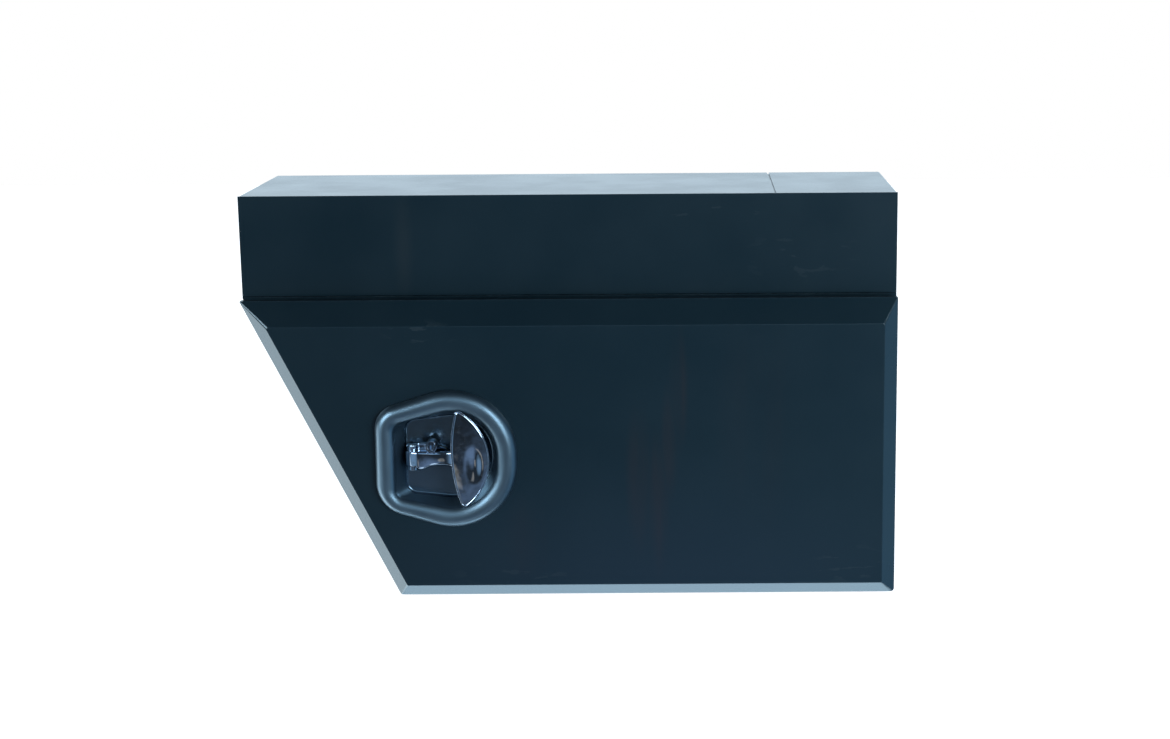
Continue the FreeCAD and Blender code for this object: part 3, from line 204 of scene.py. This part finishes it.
class Look:
    """A procedural material in the making. Its patterns lie in the piece's own coordinates, in metres."""

    def __init__(self, name, metallic=0.0, specular=0.5):
        self.material = bpy.data.materials.new(name)
        self.material.use_nodes = True
        self.tree = self.material.node_tree
        self.surface = self.tree.nodes["Principled BSDF"]
        self.surface.inputs["Metallic"].default_value = metallic
        self.surface.inputs["Specular IOR Level"].default_value = specular
        self.place = self.tree.nodes.new("ShaderNodeTexCoord").outputs["Object"]

    def node(self, kind, **settings):
        made = self.tree.nodes.new(kind)
        for name, value in settings.items():
            setattr(made, name, value)
        return made

    def feed(self, socket, value):
        """Puts a constant or another node's output into a socket."""
        if isinstance(value, bpy.types.NodeSocket):
            self.tree.links.new(value, socket)
        else:
            socket.default_value = value

    def noise(self, scale, detail=2.0, stretch=(1, 1, 1)):
        """Soft noise from 0 to 1: about scale features to a metre along the axes that aren't stretched."""
        shape = self.node("ShaderNodeMapping")
        self.feed(shape.inputs["Vector"], self.place)
        shape.inputs["Scale"].default_value = stretch
        grain = self.node("ShaderNodeTexNoise")
        self.feed(grain.inputs["Vector"], shape.outputs[0])
        grain.inputs["Scale"].default_value = scale
        grain.inputs["Detail"].default_value = detail
        return grain.outputs["Fac"]

    def ranged(self, value, low, high, first=0.0, last=1.0):
        ramp = self.node("ShaderNodeMapRange", interpolation_type="SMOOTHSTEP")
        for name, number in (("From Min", low), ("From Max", high), ("To Min", first), ("To Max", last)):
            ramp.inputs[name].default_value = number
        self.feed(ramp.inputs["Value"], value)
        return ramp.outputs[0]

    def combine(self, operation, first, second):
        made = self.node("ShaderNodeMath", operation=operation)
        self.feed(made.inputs[0], first)
        self.feed(made.inputs[1], second)
        return made.outputs[0]

    def times(self, first, second):
        return self.combine("MULTIPLY", first, second)

    def plus(self, first, second):
        return self.combine("ADD", first, second)

    def patches(self, rows, depth):
        """The strongest of some patches, each (x, y, z, half width, half height, strength)."""
        strongest = None
        for x, y, z, wide, tall, strength in rows:
            near = self.times(self.patch((x, y, z), (wide, depth, tall)), strength)
            strongest = near if strongest is None else self.combine("MAXIMUM", strongest, near)
        return strongest

    def blend(self, share, first, second):
        mix = self.node("ShaderNodeMix", data_type="RGBA")
        self.feed(mix.inputs[0], share)
        for socket, colour in ((mix.inputs[6], first), (mix.inputs[7], second)):
            self.feed(socket, colour if isinstance(colour, bpy.types.NodeSocket) else (*colour, 1))
        return mix.outputs[2]

    def patch(self, centre, reach, core=0.3):
        """1 near a place, falling to 0 at the given reach along each axis."""
        away = self.node("ShaderNodeVectorMath", operation="SUBTRACT")
        self.feed(away.inputs[0], self.place)
        away.inputs[1].default_value = centre
        scaled = self.node("ShaderNodeVectorMath", operation="DIVIDE")
        self.feed(scaled.inputs[0], away.outputs[0])
        scaled.inputs[1].default_value = reach
        length = self.node("ShaderNodeVectorMath", operation="LENGTH")
        self.feed(length.inputs[0], scaled.outputs[0])
        return self.ranged(length.outputs["Value"], core, 1.0, 1.0, 0.0)

    def edge_wear_and_highlight(self, radius, low, high):
        """1 along sharp outer and inner edges, 0 elsewhere."""
        soft = self.node("ShaderNodeBevel", samples=4)
        soft.inputs["Radius"].default_value = radius
        true = self.node("ShaderNodeNewGeometry")
        turn = self.node("ShaderNodeVectorMath", operation="DOT_PRODUCT")
        self.feed(turn.inputs[0], soft.outputs[0])
        self.feed(turn.inputs[1], true.outputs["Normal"])
        return self.ranged(turn.outputs["Value"], low, high, 1.0, 0.0)

    def bump(self, layers):
        """Relief from (height from 0 to 1, depth in metres) pairs."""
        below = None
        for height, depth in layers:
            relief = self.node("ShaderNodeBump")
            relief.inputs["Strength"].default_value = 1.0
            relief.inputs["Distance"].default_value = depth
            self.feed(relief.inputs["Height"], height)
            if below is not None:
                self.feed(relief.inputs["Normal"], below)
            below = relief.outputs[0]
        self.feed(self.surface.inputs["Normal"], below)

    def finish(self, colour, roughness):
        self.feed(self.surface.inputs["Base Color"], colour)
        self.feed(self.surface.inputs["Roughness"], roughness)
        return self.material


DOOR_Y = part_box("door_pan")[0].y
FASCIA_Y = -0.080
# Where blurred reflections are painted on the paint, then where it is scuffed: (x, y, z, half width, half
# height, strength).
REFLECTION_STREAKS = (
    (0.073, DOOR_Y, 0.135, 0.018, 0.100, 0.35), (0.116, DOOR_Y, 0.235, 0.012, 0.085, 0.45),
    (0.106, DOOR_Y, 0.175, 0.012, 0.080, 0.45), (0.093, DOOR_Y, 0.110, 0.015, 0.095, 0.5),
    (-0.050, DOOR_Y, 0.070, 0.030, 0.060, 0.2), (0.200, DOOR_Y, 0.200, 0.060, 0.160, 0.08),
)
SCUFFS = (
    (-0.155, DOOR_Y, 0.298, 0.050, 0.016, 0.25), (0.250, FASCIA_Y, 0.372, 0.080, 0.040, 0.12),
    (0.088, FASCIA_Y, 0.337, 0.004, 0.003, 1.0), (0.300, DOOR_Y, 0.040, 0.050, 0.030, 0.15),
    (-0.060, DOOR_Y, 0.030, 0.090, 0.020, 0.12), (0.150, FASCIA_Y, 0.420, 0.080, 0.014, 0.15),
)
# Painted light: where the door's face is painted lighter and bluer towards its bottom.
LOWER_GLOW_PLACE, LOWER_GLOW_REACH = (0.080, DOOR_Y, 0.0), (0.420, 0.02, 0.190)
STREAK_PLACE, STREAK_REACH = (-0.176, FASCIA_Y, 0.385), (0.014, 0.03, 0.075)
REFLECTION_STREAK_DEPTH, SCUFF_DEPTH = 0.02, 0.03


def paint_look():
    """Dark teal gloss paint over folded sheet: orange peel, waves, scuffs and a light streak, with painted
    light: blurred reddish painted reflections, painted light towards the bottom and painted highlights along
    the edges.
    """
    look = Look("body_paint_look")
    cloud = look.ranged(look.noise(5.0, 4.0), 0.35, 0.68)
    colour = look.blend(cloud, (0.0074, 0.0222, 0.0325), (0.0100, 0.0262, 0.0372))
    # Painted reflections: reddish, blurred vertical streaks on the door's face.
    vertical_streaking = look.ranged(look.noise(45.0, 3.0, (1, 1, 0.05)), 0.20, 0.80)
    reflection_streaks = look.times(look.patches(REFLECTION_STREAKS, REFLECTION_STREAK_DEPTH), vertical_streaking)
    colour = look.blend(reflection_streaks, colour, (0.0420, 0.0260, 0.0260))
    # Painted light: the door's face is painted lighter and bluer towards its bottom, standing in for light
    # from below.
    lower_glow = look.patch(LOWER_GLOW_PLACE, LOWER_GLOW_REACH, 0.0)
    colour = look.blend(look.times(lower_glow, 0.6), colour, (0.0150, 0.0300, 0.0500))
    scratch = look.ranged(look.noise(38.0, 8.0, (1.0, 1.0, 3.2)), 0.585, 0.635)
    scuffs = look.times(look.patches(SCUFFS, SCUFF_DEPTH), scratch)
    colour = look.blend(scuffs, colour, (0.060, 0.080, 0.090))
    streak = look.patch(STREAK_PLACE, STREAK_REACH, 0.1)
    colour = look.blend(look.times(streak, 0.6), colour, (0.0200, 0.0330, 0.0410))
    # Painted highlight: the sharp edges are painted lighter teal in patches, for the thin bright lines of
    # light along the folds; they also read as worn edges.
    patchy = look.ranged(look.noise(70.0, 3.0), 0.35, 0.6, 0.35, 1.0)
    edges = look.times(look.edge_wear_and_highlight(0.0016, 0.90, 0.995), patchy)
    colour = look.blend(look.times(edges, 0.55), colour, (0.055, 0.085, 0.105))
    gloss = look.ranged(look.noise(14.0, 5.0), 0.3, 0.7, 0.21, 0.25)
    gloss = look.plus(gloss, look.times(scuffs, 0.10))
    look.bump(((look.noise(4.0, 1.0), 0.00015), (look.noise(330.0, 1.0), 0.000028)))
    return look.finish(colour, gloss)


def lock_black_look():
    """Satin black over a casting: a fine even grain, dust in it, a little wear, a smoother floor, and a
    painted reflection that lightens the lower part of the dish floor.
    """
    look = Look("lock_black_look", specular=1.0)
    look.surface.inputs["IOR"].default_value = 1.95
    look.surface.inputs["Specular Tint"].default_value = (0.70, 0.87, 1.0, 1.0)
    low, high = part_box("lock_tray")
    middle = (low + high) / 2
    floor_y = high.y - 0.002
    dust = look.ranged(look.noise(90.0, 6.0), 0.5, 0.75)
    colour = look.blend(look.times(dust, 0.5), (0.0020, 0.0065, 0.0130), (0.0045, 0.0105, 0.0190))
    # Painted reflection: the lower part of the dish floor is painted lighter and bluer, where it mirrors
    # light from below.
    foot = look.patch((low.x + 0.055, floor_y, 0.128), (0.080, 0.004, 0.036), 0.5)
    colour = look.blend(look.times(foot, 0.9), colour, (0.020, 0.034, 0.056))
    worn = look.times(look.edge_wear_and_highlight(0.0012, 0.90, 0.99), 0.35)
    colour = look.blend(worn, colour, (0.02, 0.03, 0.04))
    rough = look.ranged(look.noise(35.0, 4.0), 0.3, 0.7, 0.38, 0.45)
    smooth = look.patch((middle.x, floor_y, middle.z), (0.110, 0.006, 0.110), 0.6)
    rough = look.plus(rough, look.times(smooth, -0.20))
    look.bump(((look.noise(1500.0, 2.0), 0.000020), (look.noise(45.0, 2.0), 0.00012)))
    return look.finish(colour, rough)


def chrome_look():
    """Bright plating over a die casting: soft waves left by polishing, finger marks and fine pits."""
    look = Look("handle_chrome_look", metallic=1.0)
    marks = look.ranged(look.noise(120.0, 5.0), 0.5, 0.7)
    colour = look.blend(marks, (0.47, 0.51, 0.60), (0.38, 0.40, 0.44))
    pits = look.ranged(look.noise(900.0, 2.0), 0.70, 0.76)
    colour = look.blend(look.times(pits, 0.6), colour, (0.12, 0.11, 0.10))
    rough = look.ranged(look.noise(150.0, 4.0), 0.45, 0.75, 0.05, 0.17)
    look.bump(((look.noise(55.0, 1.5), 0.00045), (pits, 0.00002)))
    return look.finish(colour, rough)


def zinc_look():
    """Zinc-plated steel: cloudy, with crystals, faint brushing and dull edges."""
    look = Look("zinc_steel_look", metallic=1.0)
    crystals = look.node("ShaderNodeTexVoronoi", feature="SMOOTH_F1")
    look.feed(crystals.inputs["Vector"], look.place)
    crystals.inputs["Scale"].default_value = 240.0
    tone = look.ranged(crystals.outputs["Distance"], 0.1, 0.7)
    colour = look.blend(tone, (0.60, 0.62, 0.63), (0.42, 0.43, 0.42))
    stain = look.ranged(look.noise(40.0, 6.0), 0.55, 0.75)
    colour = look.blend(look.times(stain, 0.5), colour, (0.26, 0.23, 0.17))
    rough = look.ranged(look.noise(300.0, 3.0, (1, 1, 0.1)), 0.3, 0.7, 0.26, 0.46)
    look.bump(((tone, 0.00003), (look.noise(700.0, 2.0), 0.00002)))
    return look.finish(colour, rough)


def brass_look():
    """Turned brass gone slightly brown, with fine tool rings round its axis."""
    look = Look("bush_brass_look", metallic=1.0)
    tarnish = look.ranged(look.noise(160.0, 5.0), 0.4, 0.7)
    colour = look.blend(tarnish, (0.66, 0.47, 0.21), (0.33, 0.21, 0.10))
    rings = look.noise(260.0, 1.0, (0.2, 6.0, 0.2))
    look.bump(((rings, 0.00003), (look.noise(900.0, 2.0), 0.00001)))
    return look.finish(colour, look.ranged(rings, 0.3, 0.7, 0.24, 0.42))


def rubber_look():
    """Dull black sponge rubber: fine pores and a grey bloom."""
    look = Look("seal_rubber_look", specular=0.3)
    bloom = look.ranged(look.noise(50.0, 6.0), 0.4, 0.75)
    colour = look.blend(bloom, (0.010, 0.010, 0.011), (0.030, 0.030, 0.031))
    pores = look.ranged(look.noise(1300.0, 3.0), 0.35, 0.6)
    look.bump(((pores, 0.00006), (look.noise(150.0, 2.0), 0.0001)))
    return look.finish(colour, look.ranged(pores, 0.0, 1.0, 0.8, 0.6))


MATERIALS = {
    "body_paint": paint_look(),
    "lock_black": lock_black_look(),
    "handle_chrome": chrome_look(),
    "zinc_steel": zinc_look(),
    "bush_brass": brass_look(),
    "seal_rubber": rubber_look(),
}
for node in NODES.values():
    for index, old in enumerate(node.data.materials):
        node.data.materials[index] = MATERIALS[old.name.split(".")[0]]

# ---------------------------------------------------------------- mesh helpers

MM = 0.001
SHARP_EDGE = math.radians(38)
WELD_WITHIN = 1e-6


def along(start, end, share):
    return start + (end - start) * share


def outline(discs, arc_steps, line_steps):
    """Points (x, z) of the taut belt round discs (x, z, radius), given anticlockwise from the front."""
    angles = []
    for (ax, az, ar), (bx, bz, br) in zip(discs, discs[1:] + discs[:1]):
        apart = math.hypot(bx - ax, bz - az)
        angles.append(math.atan2(bz - az, bx - ax) - math.acos((ar - br) / apart))
    arcs = []
    for index, (x, z, radius) in enumerate(discs):
        first, last = angles[index - 1], angles[index]
        while last < first:
            last += math.tau
        turn = [along(first, last, step / arc_steps) for step in range(arc_steps + 1)]
        arcs.append([(x + radius * math.cos(a), z + radius * math.sin(a)) for a in turn])
    points = []
    for arc, following in zip(arcs, arcs[1:] + arcs[:1]):
        points += arc
        (ax, az), (bx, bz) = arc[-1], following[0]
        shares = [step / line_steps for step in range(1, line_steps)]
        points += [(along(ax, bx, share), along(az, bz, share)) for share in shares]
    return points


def circle(x, z, radius, points):
    """A ring of points about (x, z), each in the direction of the matching point of another ring."""
    ring = []
    for px, pz in points:
        angle = math.atan2(pz - z, px - x)
        ring.append((x + radius * math.cos(angle), z + radius * math.sin(angle)))
    return ring


def at_depth(points, y):
    return [Vector((x, y, z)) for x, z in points]


def blend_rings(first, second, share):
    return [a.lerp(b, share) for a, b in zip(first, second)]


def wall(shape, low, high):
    """Faces between two rings of equally many vertices."""
    for index in range(len(low)):
        following = (index + 1) % len(low)
        shape.faces.new((low[index], low[following], high[following], high[index]))


def skin(name, rings, loop=False, caps=False):
    """A mesh over rings of equally many points; loop joins the last to the first, caps close both ends."""
    shape = bmesh.new()
    rows = [[shape.verts.new(point) for point in ring] for ring in rings]
    pairs = list(zip(rows, rows[1:]))
    if loop:
        pairs.append((rows[-1], rows[0]))
    for low, high in pairs:
        wall(shape, low, high)
    if caps:
        shape.faces.new(list(reversed(rows[0])))
        shape.faces.new(rows[-1])
    return as_object(name, shape)


def as_object(name, shape):
    """Turns a bmesh into a smooth-shaded object with outward faces."""
    bmesh.ops.remove_doubles(shape, verts=shape.verts[:], dist=WELD_WITHIN)
    bmesh.ops.recalc_face_normals(shape, faces=shape.faces[:])
    for face in shape.faces:
        face.smooth = True
    for edge in shape.edges:
        if len(edge.link_faces) == 2 and edge.calc_face_angle() > SHARP_EDGE:
            edge.smooth = False
    mesh = bpy.data.meshes.new(name)
    shape.to_mesh(mesh)
    shape.free()
    piece = bpy.data.objects.new(name, mesh)
    bpy.context.scene.collection.objects.link(piece)
    return piece


def install(piece, body, slot, *nodes):
    """Gives a piece its look, its body and the nodes that it stands for."""
    piece.data.materials.append(MATERIALS[slot])
    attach(piece, body)
    if nodes:
        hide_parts(*nodes)


def joint_place(name):
    return Vector([joint["pos_m"] for joint in frame["joints"] if joint["name"] == name][0])


# ---------------------------------------------------------------- the lock's tray

tray_low, tray_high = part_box("lock_tray")
TRAY_ROUND = 70 * MM
TRAY_X = tray_high.x - TRAY_ROUND
TRAY_Z = (tray_low.z + tray_high.z) / 2
CREST_Y = tray_low.y
DISH_BACK_Y = tray_high.y
TRAY_BACK_Y = CREST_Y + 11 * MM
FLOOR_Y = DISH_BACK_Y - 2 * MM
SPINDLE = joint_place("handle_turn")
PIN = joint_place("handle_lift")
KEY = joint_place("key_turn")
BUSH_HOLE = 9.1 * MM
TRAY_ARC, TRAY_LINE = 30, 8


def belt(discs, grow, y):
    """Points round discs given in millimetres from the tray's middle, moved out by grow, at depth y."""
    placed = [(TRAY_X + x * MM, TRAY_Z + z * MM, (radius + grow) * MM) for x, z, radius in discs]
    return at_depth(outline(placed, TRAY_ARC, TRAY_LINE), y)


TRAY_DISCS = ((0, 5, 70), (-54.5, 33, 27), (-45, -25.5, 37), (0, -5, 70))
MOUTH_DISCS = ((0, 5, 48), (-50, 30, 11), (-50, -32, 11), (0, -5, 48))
FLOOR_DISCS = ((-1.5, 0, 44), (-40, 27.5, 12), (-40, -31, 12), (-1.5, -3, 44))
TRAY_HEIGHT = 11 * MM
MOUTH_DEPTH = 8 * MM
FLOOR_FILLET = 2.0


def make_lock_tray():
    """The cast tray: a half-elliptic ring, sloping walls, a flat floor with the bush's hole, and its back."""
    rings = [belt(TRAY_DISCS, -0.25, TRAY_BACK_Y)]
    outer, inner = belt(TRAY_DISCS, 0, 0), belt(MOUTH_DISCS, 0, 0)
    for degrees in range(3, 91, 6):
        turn = math.radians(degrees)
        ring = blend_rings(outer, inner, 0.5 * (1 - math.cos(turn)))
        rings.append([Vector((p.x, TRAY_BACK_Y - TRAY_HEIGHT * math.sin(turn), p.z)) for p in ring])
    for degrees in range(6, 91, 6):
        turn = math.radians(degrees)
        ring = blend_rings(outer, inner, 0.5 + 0.5 * math.sin(turn))
        rings.append([Vector((p.x, CREST_Y + MOUTH_DEPTH * (1 - math.cos(turn)), p.z)) for p in ring])
    mouth, foot = belt(MOUTH_DISCS, -0.15, CREST_Y + 9.6 * MM), belt(FLOOR_DISCS, 0.2, FLOOR_Y - 2.2 * MM)
    rings += [blend_rings(mouth, foot, share) for share in (0, 0.12, 0.3, 0.5, 0.7, 0.88, 1)]
    for degrees in (25, 50, 75, 90):
        turn = math.radians(degrees)
        inward, above = FLOOR_FILLET * (1 - math.cos(turn)), FLOOR_FILLET * MM * (1 - math.sin(turn))
        rings.append(belt(FLOOR_DISCS, -inward, FLOOR_Y - above))
    floor_edge = belt(FLOOR_DISCS, -2.6, FLOOR_Y)
    rim_points = [(p.x, p.z) for p in floor_edge]
    hole = at_depth(circle(SPINDLE.x, SPINDLE.z, BUSH_HOLE, rim_points), FLOOR_Y)
    rings += [blend_rings(floor_edge, hole, share) for share in (0, 0.4, 0.8, 1)]
    rings.append(at_depth(circle(SPINDLE.x, SPINDLE.z, BUSH_HOLE, rim_points), DISH_BACK_Y))
    rings += [belt(FLOOR_DISCS, 0.6, DISH_BACK_Y), belt(FLOOR_DISCS, 1.5, DISH_BACK_Y - 0.5 * MM)]
    rings += [belt(FLOOR_DISCS, 1.8, DISH_BACK_Y - 1.4 * MM), belt(MOUTH_DISCS, 0.8, TRAY_BACK_Y + 0.4 * MM)]
    rings.append(belt(MOUTH_DISCS, 1.2, TRAY_BACK_Y))
    install(skin("lock_tray_casting", rings, loop=True), "door", "lock_black", "lock_tray")


make_lock_tray()

# ---------------------------------------------------------------- the folding handle

STEM_FRONT_Y = CREST_Y + 6 * MM
BOSS_STEPS = 64
PADDLE_BACK_Y = CREST_Y + 2.3 * MM


def rounded_section(x, front, back, low, high, radius, steps=6, chin=None):
    """A rounded rectangle across the stem at x."""
    ring = []
    corners = ((front, low, 180), (back, low, 270), (back, high, 0), (front, high, 90))
    for y, z, start in corners:
        round_to = chin if (y, z) == (front, low) and chin else radius
        centre_y = y + round_to if y == front else y - round_to
        centre_z = z + round_to if z == low else z - round_to
        for step in range(steps + 1):
            turn = math.radians(start + 90 * step / steps)
            along_y, along_z = round_to * math.cos(turn), round_to * math.sin(turn)
            ring.append(Vector((x, centre_y + along_y, centre_z + along_z)))
    return ring


def make_handle_stem():
    """Hub and stem in one flowing casting. A row: x from the pin, back, front, foot, head, corner radius."""
    rows = (
        (-7.2, 104.6, 109.6, -6.0, 6.0, 1.6), (-6.8, 102.8, 111.4, -7.4, 7.4, 2.0),
        (-5.6, 101.2, 113.4, -8.3, 8.3, 2.2), (-3.6, 100.3, 115.3, -8.6, 8.6, 2.2),
        (-1.0, 100.0, 116.9, -8.6, 8.6, 2.2), (2.0, 100.6, 118.2, -8.6, 8.6, 2.2),
        (4.6, 102.2, 118.9, -8.6, 8.6, 2.2), (6.1, 104.4, 119.2, -8.6, 8.6, 2.2),
        (6.9, 106.6, 119.3, -12.2, 8.6, 2.2), (8.4, 108.6, 119.3, -12.6, 8.6, 2.4),
        (12, 109, 119.3, -12.3, 8.5, 2.4), (15, 109, 119.2, -11.2, 8.4, 2.4),
        (18, 109, 119.0, -9.6, 8.2, 2.4), (21, 109, 118.8, -8.6, 8.0, 2.4),
        (24.5, 109.2, 118.7, -8.0, 7.9, 2.4), (29, 109.6, 118.7, -7.8, 7.8, 2.4),
        (34, 110.4, 118.9, -7.8, 7.8, 2.4), (39, 111.5, 119.4, -8.2, 8.2, 2.2),
        (44, 113.2, 120.6, -8.9, 8.8, 2.0), (49, 116.2, 122.6, -9.8, 9.6, 1.6),
    )
    rings = []
    for x, back, front, low, high, radius in rows:
        chin = radius * (2.3 if x > 6.5 else 1.0) * MM
        section = (PIN.x + x * MM, -front * MM, -back * MM, PIN.z + low * MM, PIN.z + high * MM, radius * MM)
        rings.append(rounded_section(*section, chin=chin))
    return skin("handle_stem", rings, caps=True)


PADDLE_X = SPINDLE.x - 8.1 * MM
PADDLE_ROUND = 63.5 * MM
PADDLE_BOW = 178 * MM
PADDLE_BOW_RISE = 9 * MM
PADDLE_EDGE = 22.7 * MM
PADDLE_TIP = 4.6 * MM
PADDLE_THICK = 1.4 * MM
PADDLE_SIDE, PADDLE_TURN, PADDLE_COLUMNS = 40, 8, 16
# From the rim inward, in millimetres: (inset, drop below the face). The dip is the groove inside the rim.
PADDLE_FACE_STEPS = (
    (0, 0.45), (0.08, 0.2), (0.25, 0.05), (0.5, 0), (1.2, 0),
    (1.4, 0.12), (1.6, 0.2), (1.8, 0.12), (2.0, 0), (2.6, 0),
)


def paddle_ring(inset, y=0.0):
    """The half moon's outline moved inward: right side up, upper tip, left side down, lower tip."""
    bow_x = PADDLE_EDGE + PADDLE_BOW
    apart, lean = math.hypot(bow_x, PADDLE_BOW_RISE), math.atan2(PADDLE_BOW_RISE, bow_x)
    right, left, tip = PADDLE_ROUND - PADDLE_TIP, PADDLE_BOW - PADDLE_TIP, PADDLE_TIP - inset
    meet = (right ** 2 - left ** 2 + apart ** 2) / (2 * apart)
    rise = math.sqrt(right ** 2 - meet ** 2)
    reach, swing = math.atan2(rise, meet), math.atan2(rise, meet - apart)
    points = []
    for step in range(PADDLE_SIDE + 1):
        turn = along(-reach, reach, step / PADDLE_SIDE)
        points.append(((right + tip) * math.cos(turn), (right + tip) * math.sin(turn)))
    for step in range(1, PADDLE_TURN):
        turn = along(reach, swing, step / PADDLE_TURN)
        points.append((meet + tip * math.cos(turn), rise + tip * math.sin(turn)))
    for step in range(PADDLE_SIDE + 1):
        turn = along(swing, math.tau - swing, step / PADDLE_SIDE)
        points.append((apart + (left + tip) * math.cos(turn), (left + tip) * math.sin(turn)))
    for step in range(1, PADDLE_TURN):
        turn = along(-swing, -reach, step / PADDLE_TURN)
        points.append((meet + tip * math.cos(turn), -rise + tip * math.sin(turn)))
    across, up = math.cos(lean), math.sin(lean)
    return [Vector((PADDLE_X + a * across - b * up, y, SPINDLE.z + a * up + b * across)) for a, b in points]


def paddle_front(x, z):
    """Depth of the paddle's face at (x, z): a crown with a thumb dish in it."""
    across = (x - (SPINDLE.x + 34 * MM)) / (22 * MM)
    upright = (z - SPINDLE.z) / (50 * MM)
    y = CREST_Y + 0.25 * MM + 0.9 * MM * upright ** 2 + 0.6 * MM * across ** 2
    dish_x, dish_z = (x - (SPINDLE.x + 38.5 * MM)) / (9.5 * MM), (z - (SPINDLE.z - 5 * MM)) / (20 * MM)
    reach = min(1.0, math.hypot(dish_x, dish_z))
    return y + 2.2 * MM * (1 - reach ** 2) ** 1.4


def make_handle_paddle():
    """The half-moon paddle: rounded rim, a fine groove inside it, and the dished face."""
    shape = bmesh.new()
    rim = []
    back = PADDLE_BACK_Y
    for inset, y in ((1.2, back), (0.4, back - 0.15 * MM), (0, back - 0.5 * MM)):
        rim.append(paddle_ring(inset * MM, y))
    for inset, drop in PADDLE_FACE_STEPS:
        ring = paddle_ring(inset * MM)
        rim.append([Vector((p.x, paddle_front(p.x, p.z) + drop * MM, p.z)) for p in ring])
    rows = [[shape.verts.new(point) for point in ring] for ring in rim]
    for low, high in zip(rows, rows[1:]):
        wall(shape, low, high)
    for face_row, front in ((rows[-1], True), (rows[0], False)):
        right = face_row[: PADDLE_SIDE + 1]
        left = list(reversed(face_row[PADDLE_SIDE + PADDLE_TURN: 2 * PADDLE_SIDE + PADDLE_TURN + 1]))
        grid = []
        for start, stop in zip(left, right):
            line = [start]
            for column in range(1, PADDLE_COLUMNS):
                point = start.co.lerp(stop.co, column / PADDLE_COLUMNS)
                face_y = paddle_front(point.x, point.z)
                point.y = face_y if front else max(point.y, face_y + PADDLE_THICK)
                line.append(shape.verts.new(point))
            grid.append(line + [stop])
        for low, high in zip(grid, grid[1:]):
            for column in range(PADDLE_COLUMNS):
                shape.faces.new((low[column], low[column + 1], high[column + 1], high[column]))
        upper_tip = face_row[PADDLE_SIDE: PADDLE_SIDE + PADDLE_TURN + 1]
        lower_tip = face_row[2 * PADDLE_SIDE + PADDLE_TURN:] + [face_row[0]]
        shape.faces.new(upper_tip + grid[-1][1:-1])
        shape.faces.new(lower_tip + list(reversed(grid[0][1:-1])))
    return as_object("handle_paddle", shape)


def make_key_boss():
    """The round boss beside the stem that holds the key lock."""
    front = STEM_FRONT_Y - 1.0 * MM
    profile = (
        (4.95, 0.6), (5.15, 0.1), (5.6, 0.0), (6.1, 0.15), (6.4, 0.6), (6.5, 1.2),
        (6.5, 14), (6.2, 15.6), (5.8, 16.6), (4.95, 17.0), (4.95, 0.9),
    )
    turns = [math.tau * step / BOSS_STEPS for step in range(BOSS_STEPS)]
    rings = []
    for radius, deep in profile:
        reach, y = radius * MM, front + deep * MM
        spots = [(KEY.x + reach * math.cos(turn), KEY.z + reach * math.sin(turn)) for turn in turns]
        rings.append(at_depth(spots, y))
    return skin("key_boss", rings, loop=True)


# The key web's upper rib, its plate and its lower rib, in millimetres: (foot and head above the pin, how far
# the front stands ahead of the origin, corner radius).
WEB_PARTS = ((14.6, 17.5, 115.0, 1.3), (5.0, 15.5, 112.6, 0.6), (9.4, 12.0, 114.4, 1.1))
WEB_PLACES = (6.7, 7.4, 9.5, 13.0, 17.0, 20.5)
WEB_BACK = 109.2
WEB_SLIM_START = 0.5
WEB_CORNER_SHARE = 0.98


def make_key_web():
    """The web between the hub and the key boss: a thin plate, a rib along its top and one across it."""
    shape = bmesh.new()
    for low, high, front, radius in WEB_PARTS:
        rows = []
        for x in WEB_PLACES:
            slim = WEB_SLIM_START if x == WEB_PLACES[0] else 0.0
            front_y, back_y = -(front - slim) * MM, -(WEB_BACK + slim) * MM
            foot, head = PIN.z + (low + slim) * MM, PIN.z + (high - slim) * MM
            corner = min(radius, (high - low) / 2 - slim) * MM * WEB_CORNER_SHARE
            ring = rounded_section(PIN.x + x * MM, front_y, back_y, foot, head, corner)
            rows.append([shape.verts.new(point) for point in ring])
        for first, second in zip(rows, rows[1:]):
            wall(shape, first, second)
        shape.faces.new(list(reversed(rows[0])))
        shape.faces.new(rows[-1])
    return as_object("key_web", shape)


def make_handle():
    stem, paddle, boss = make_handle_stem(), make_handle_paddle(), make_key_boss()
    install(make_key_web(), "handle", "handle_chrome")
    install(stem, "handle", "handle_chrome", "folding_handle")
    install(paddle, "handle", "handle_chrome")
    install(boss, "handle", "handle_chrome")


make_handle()
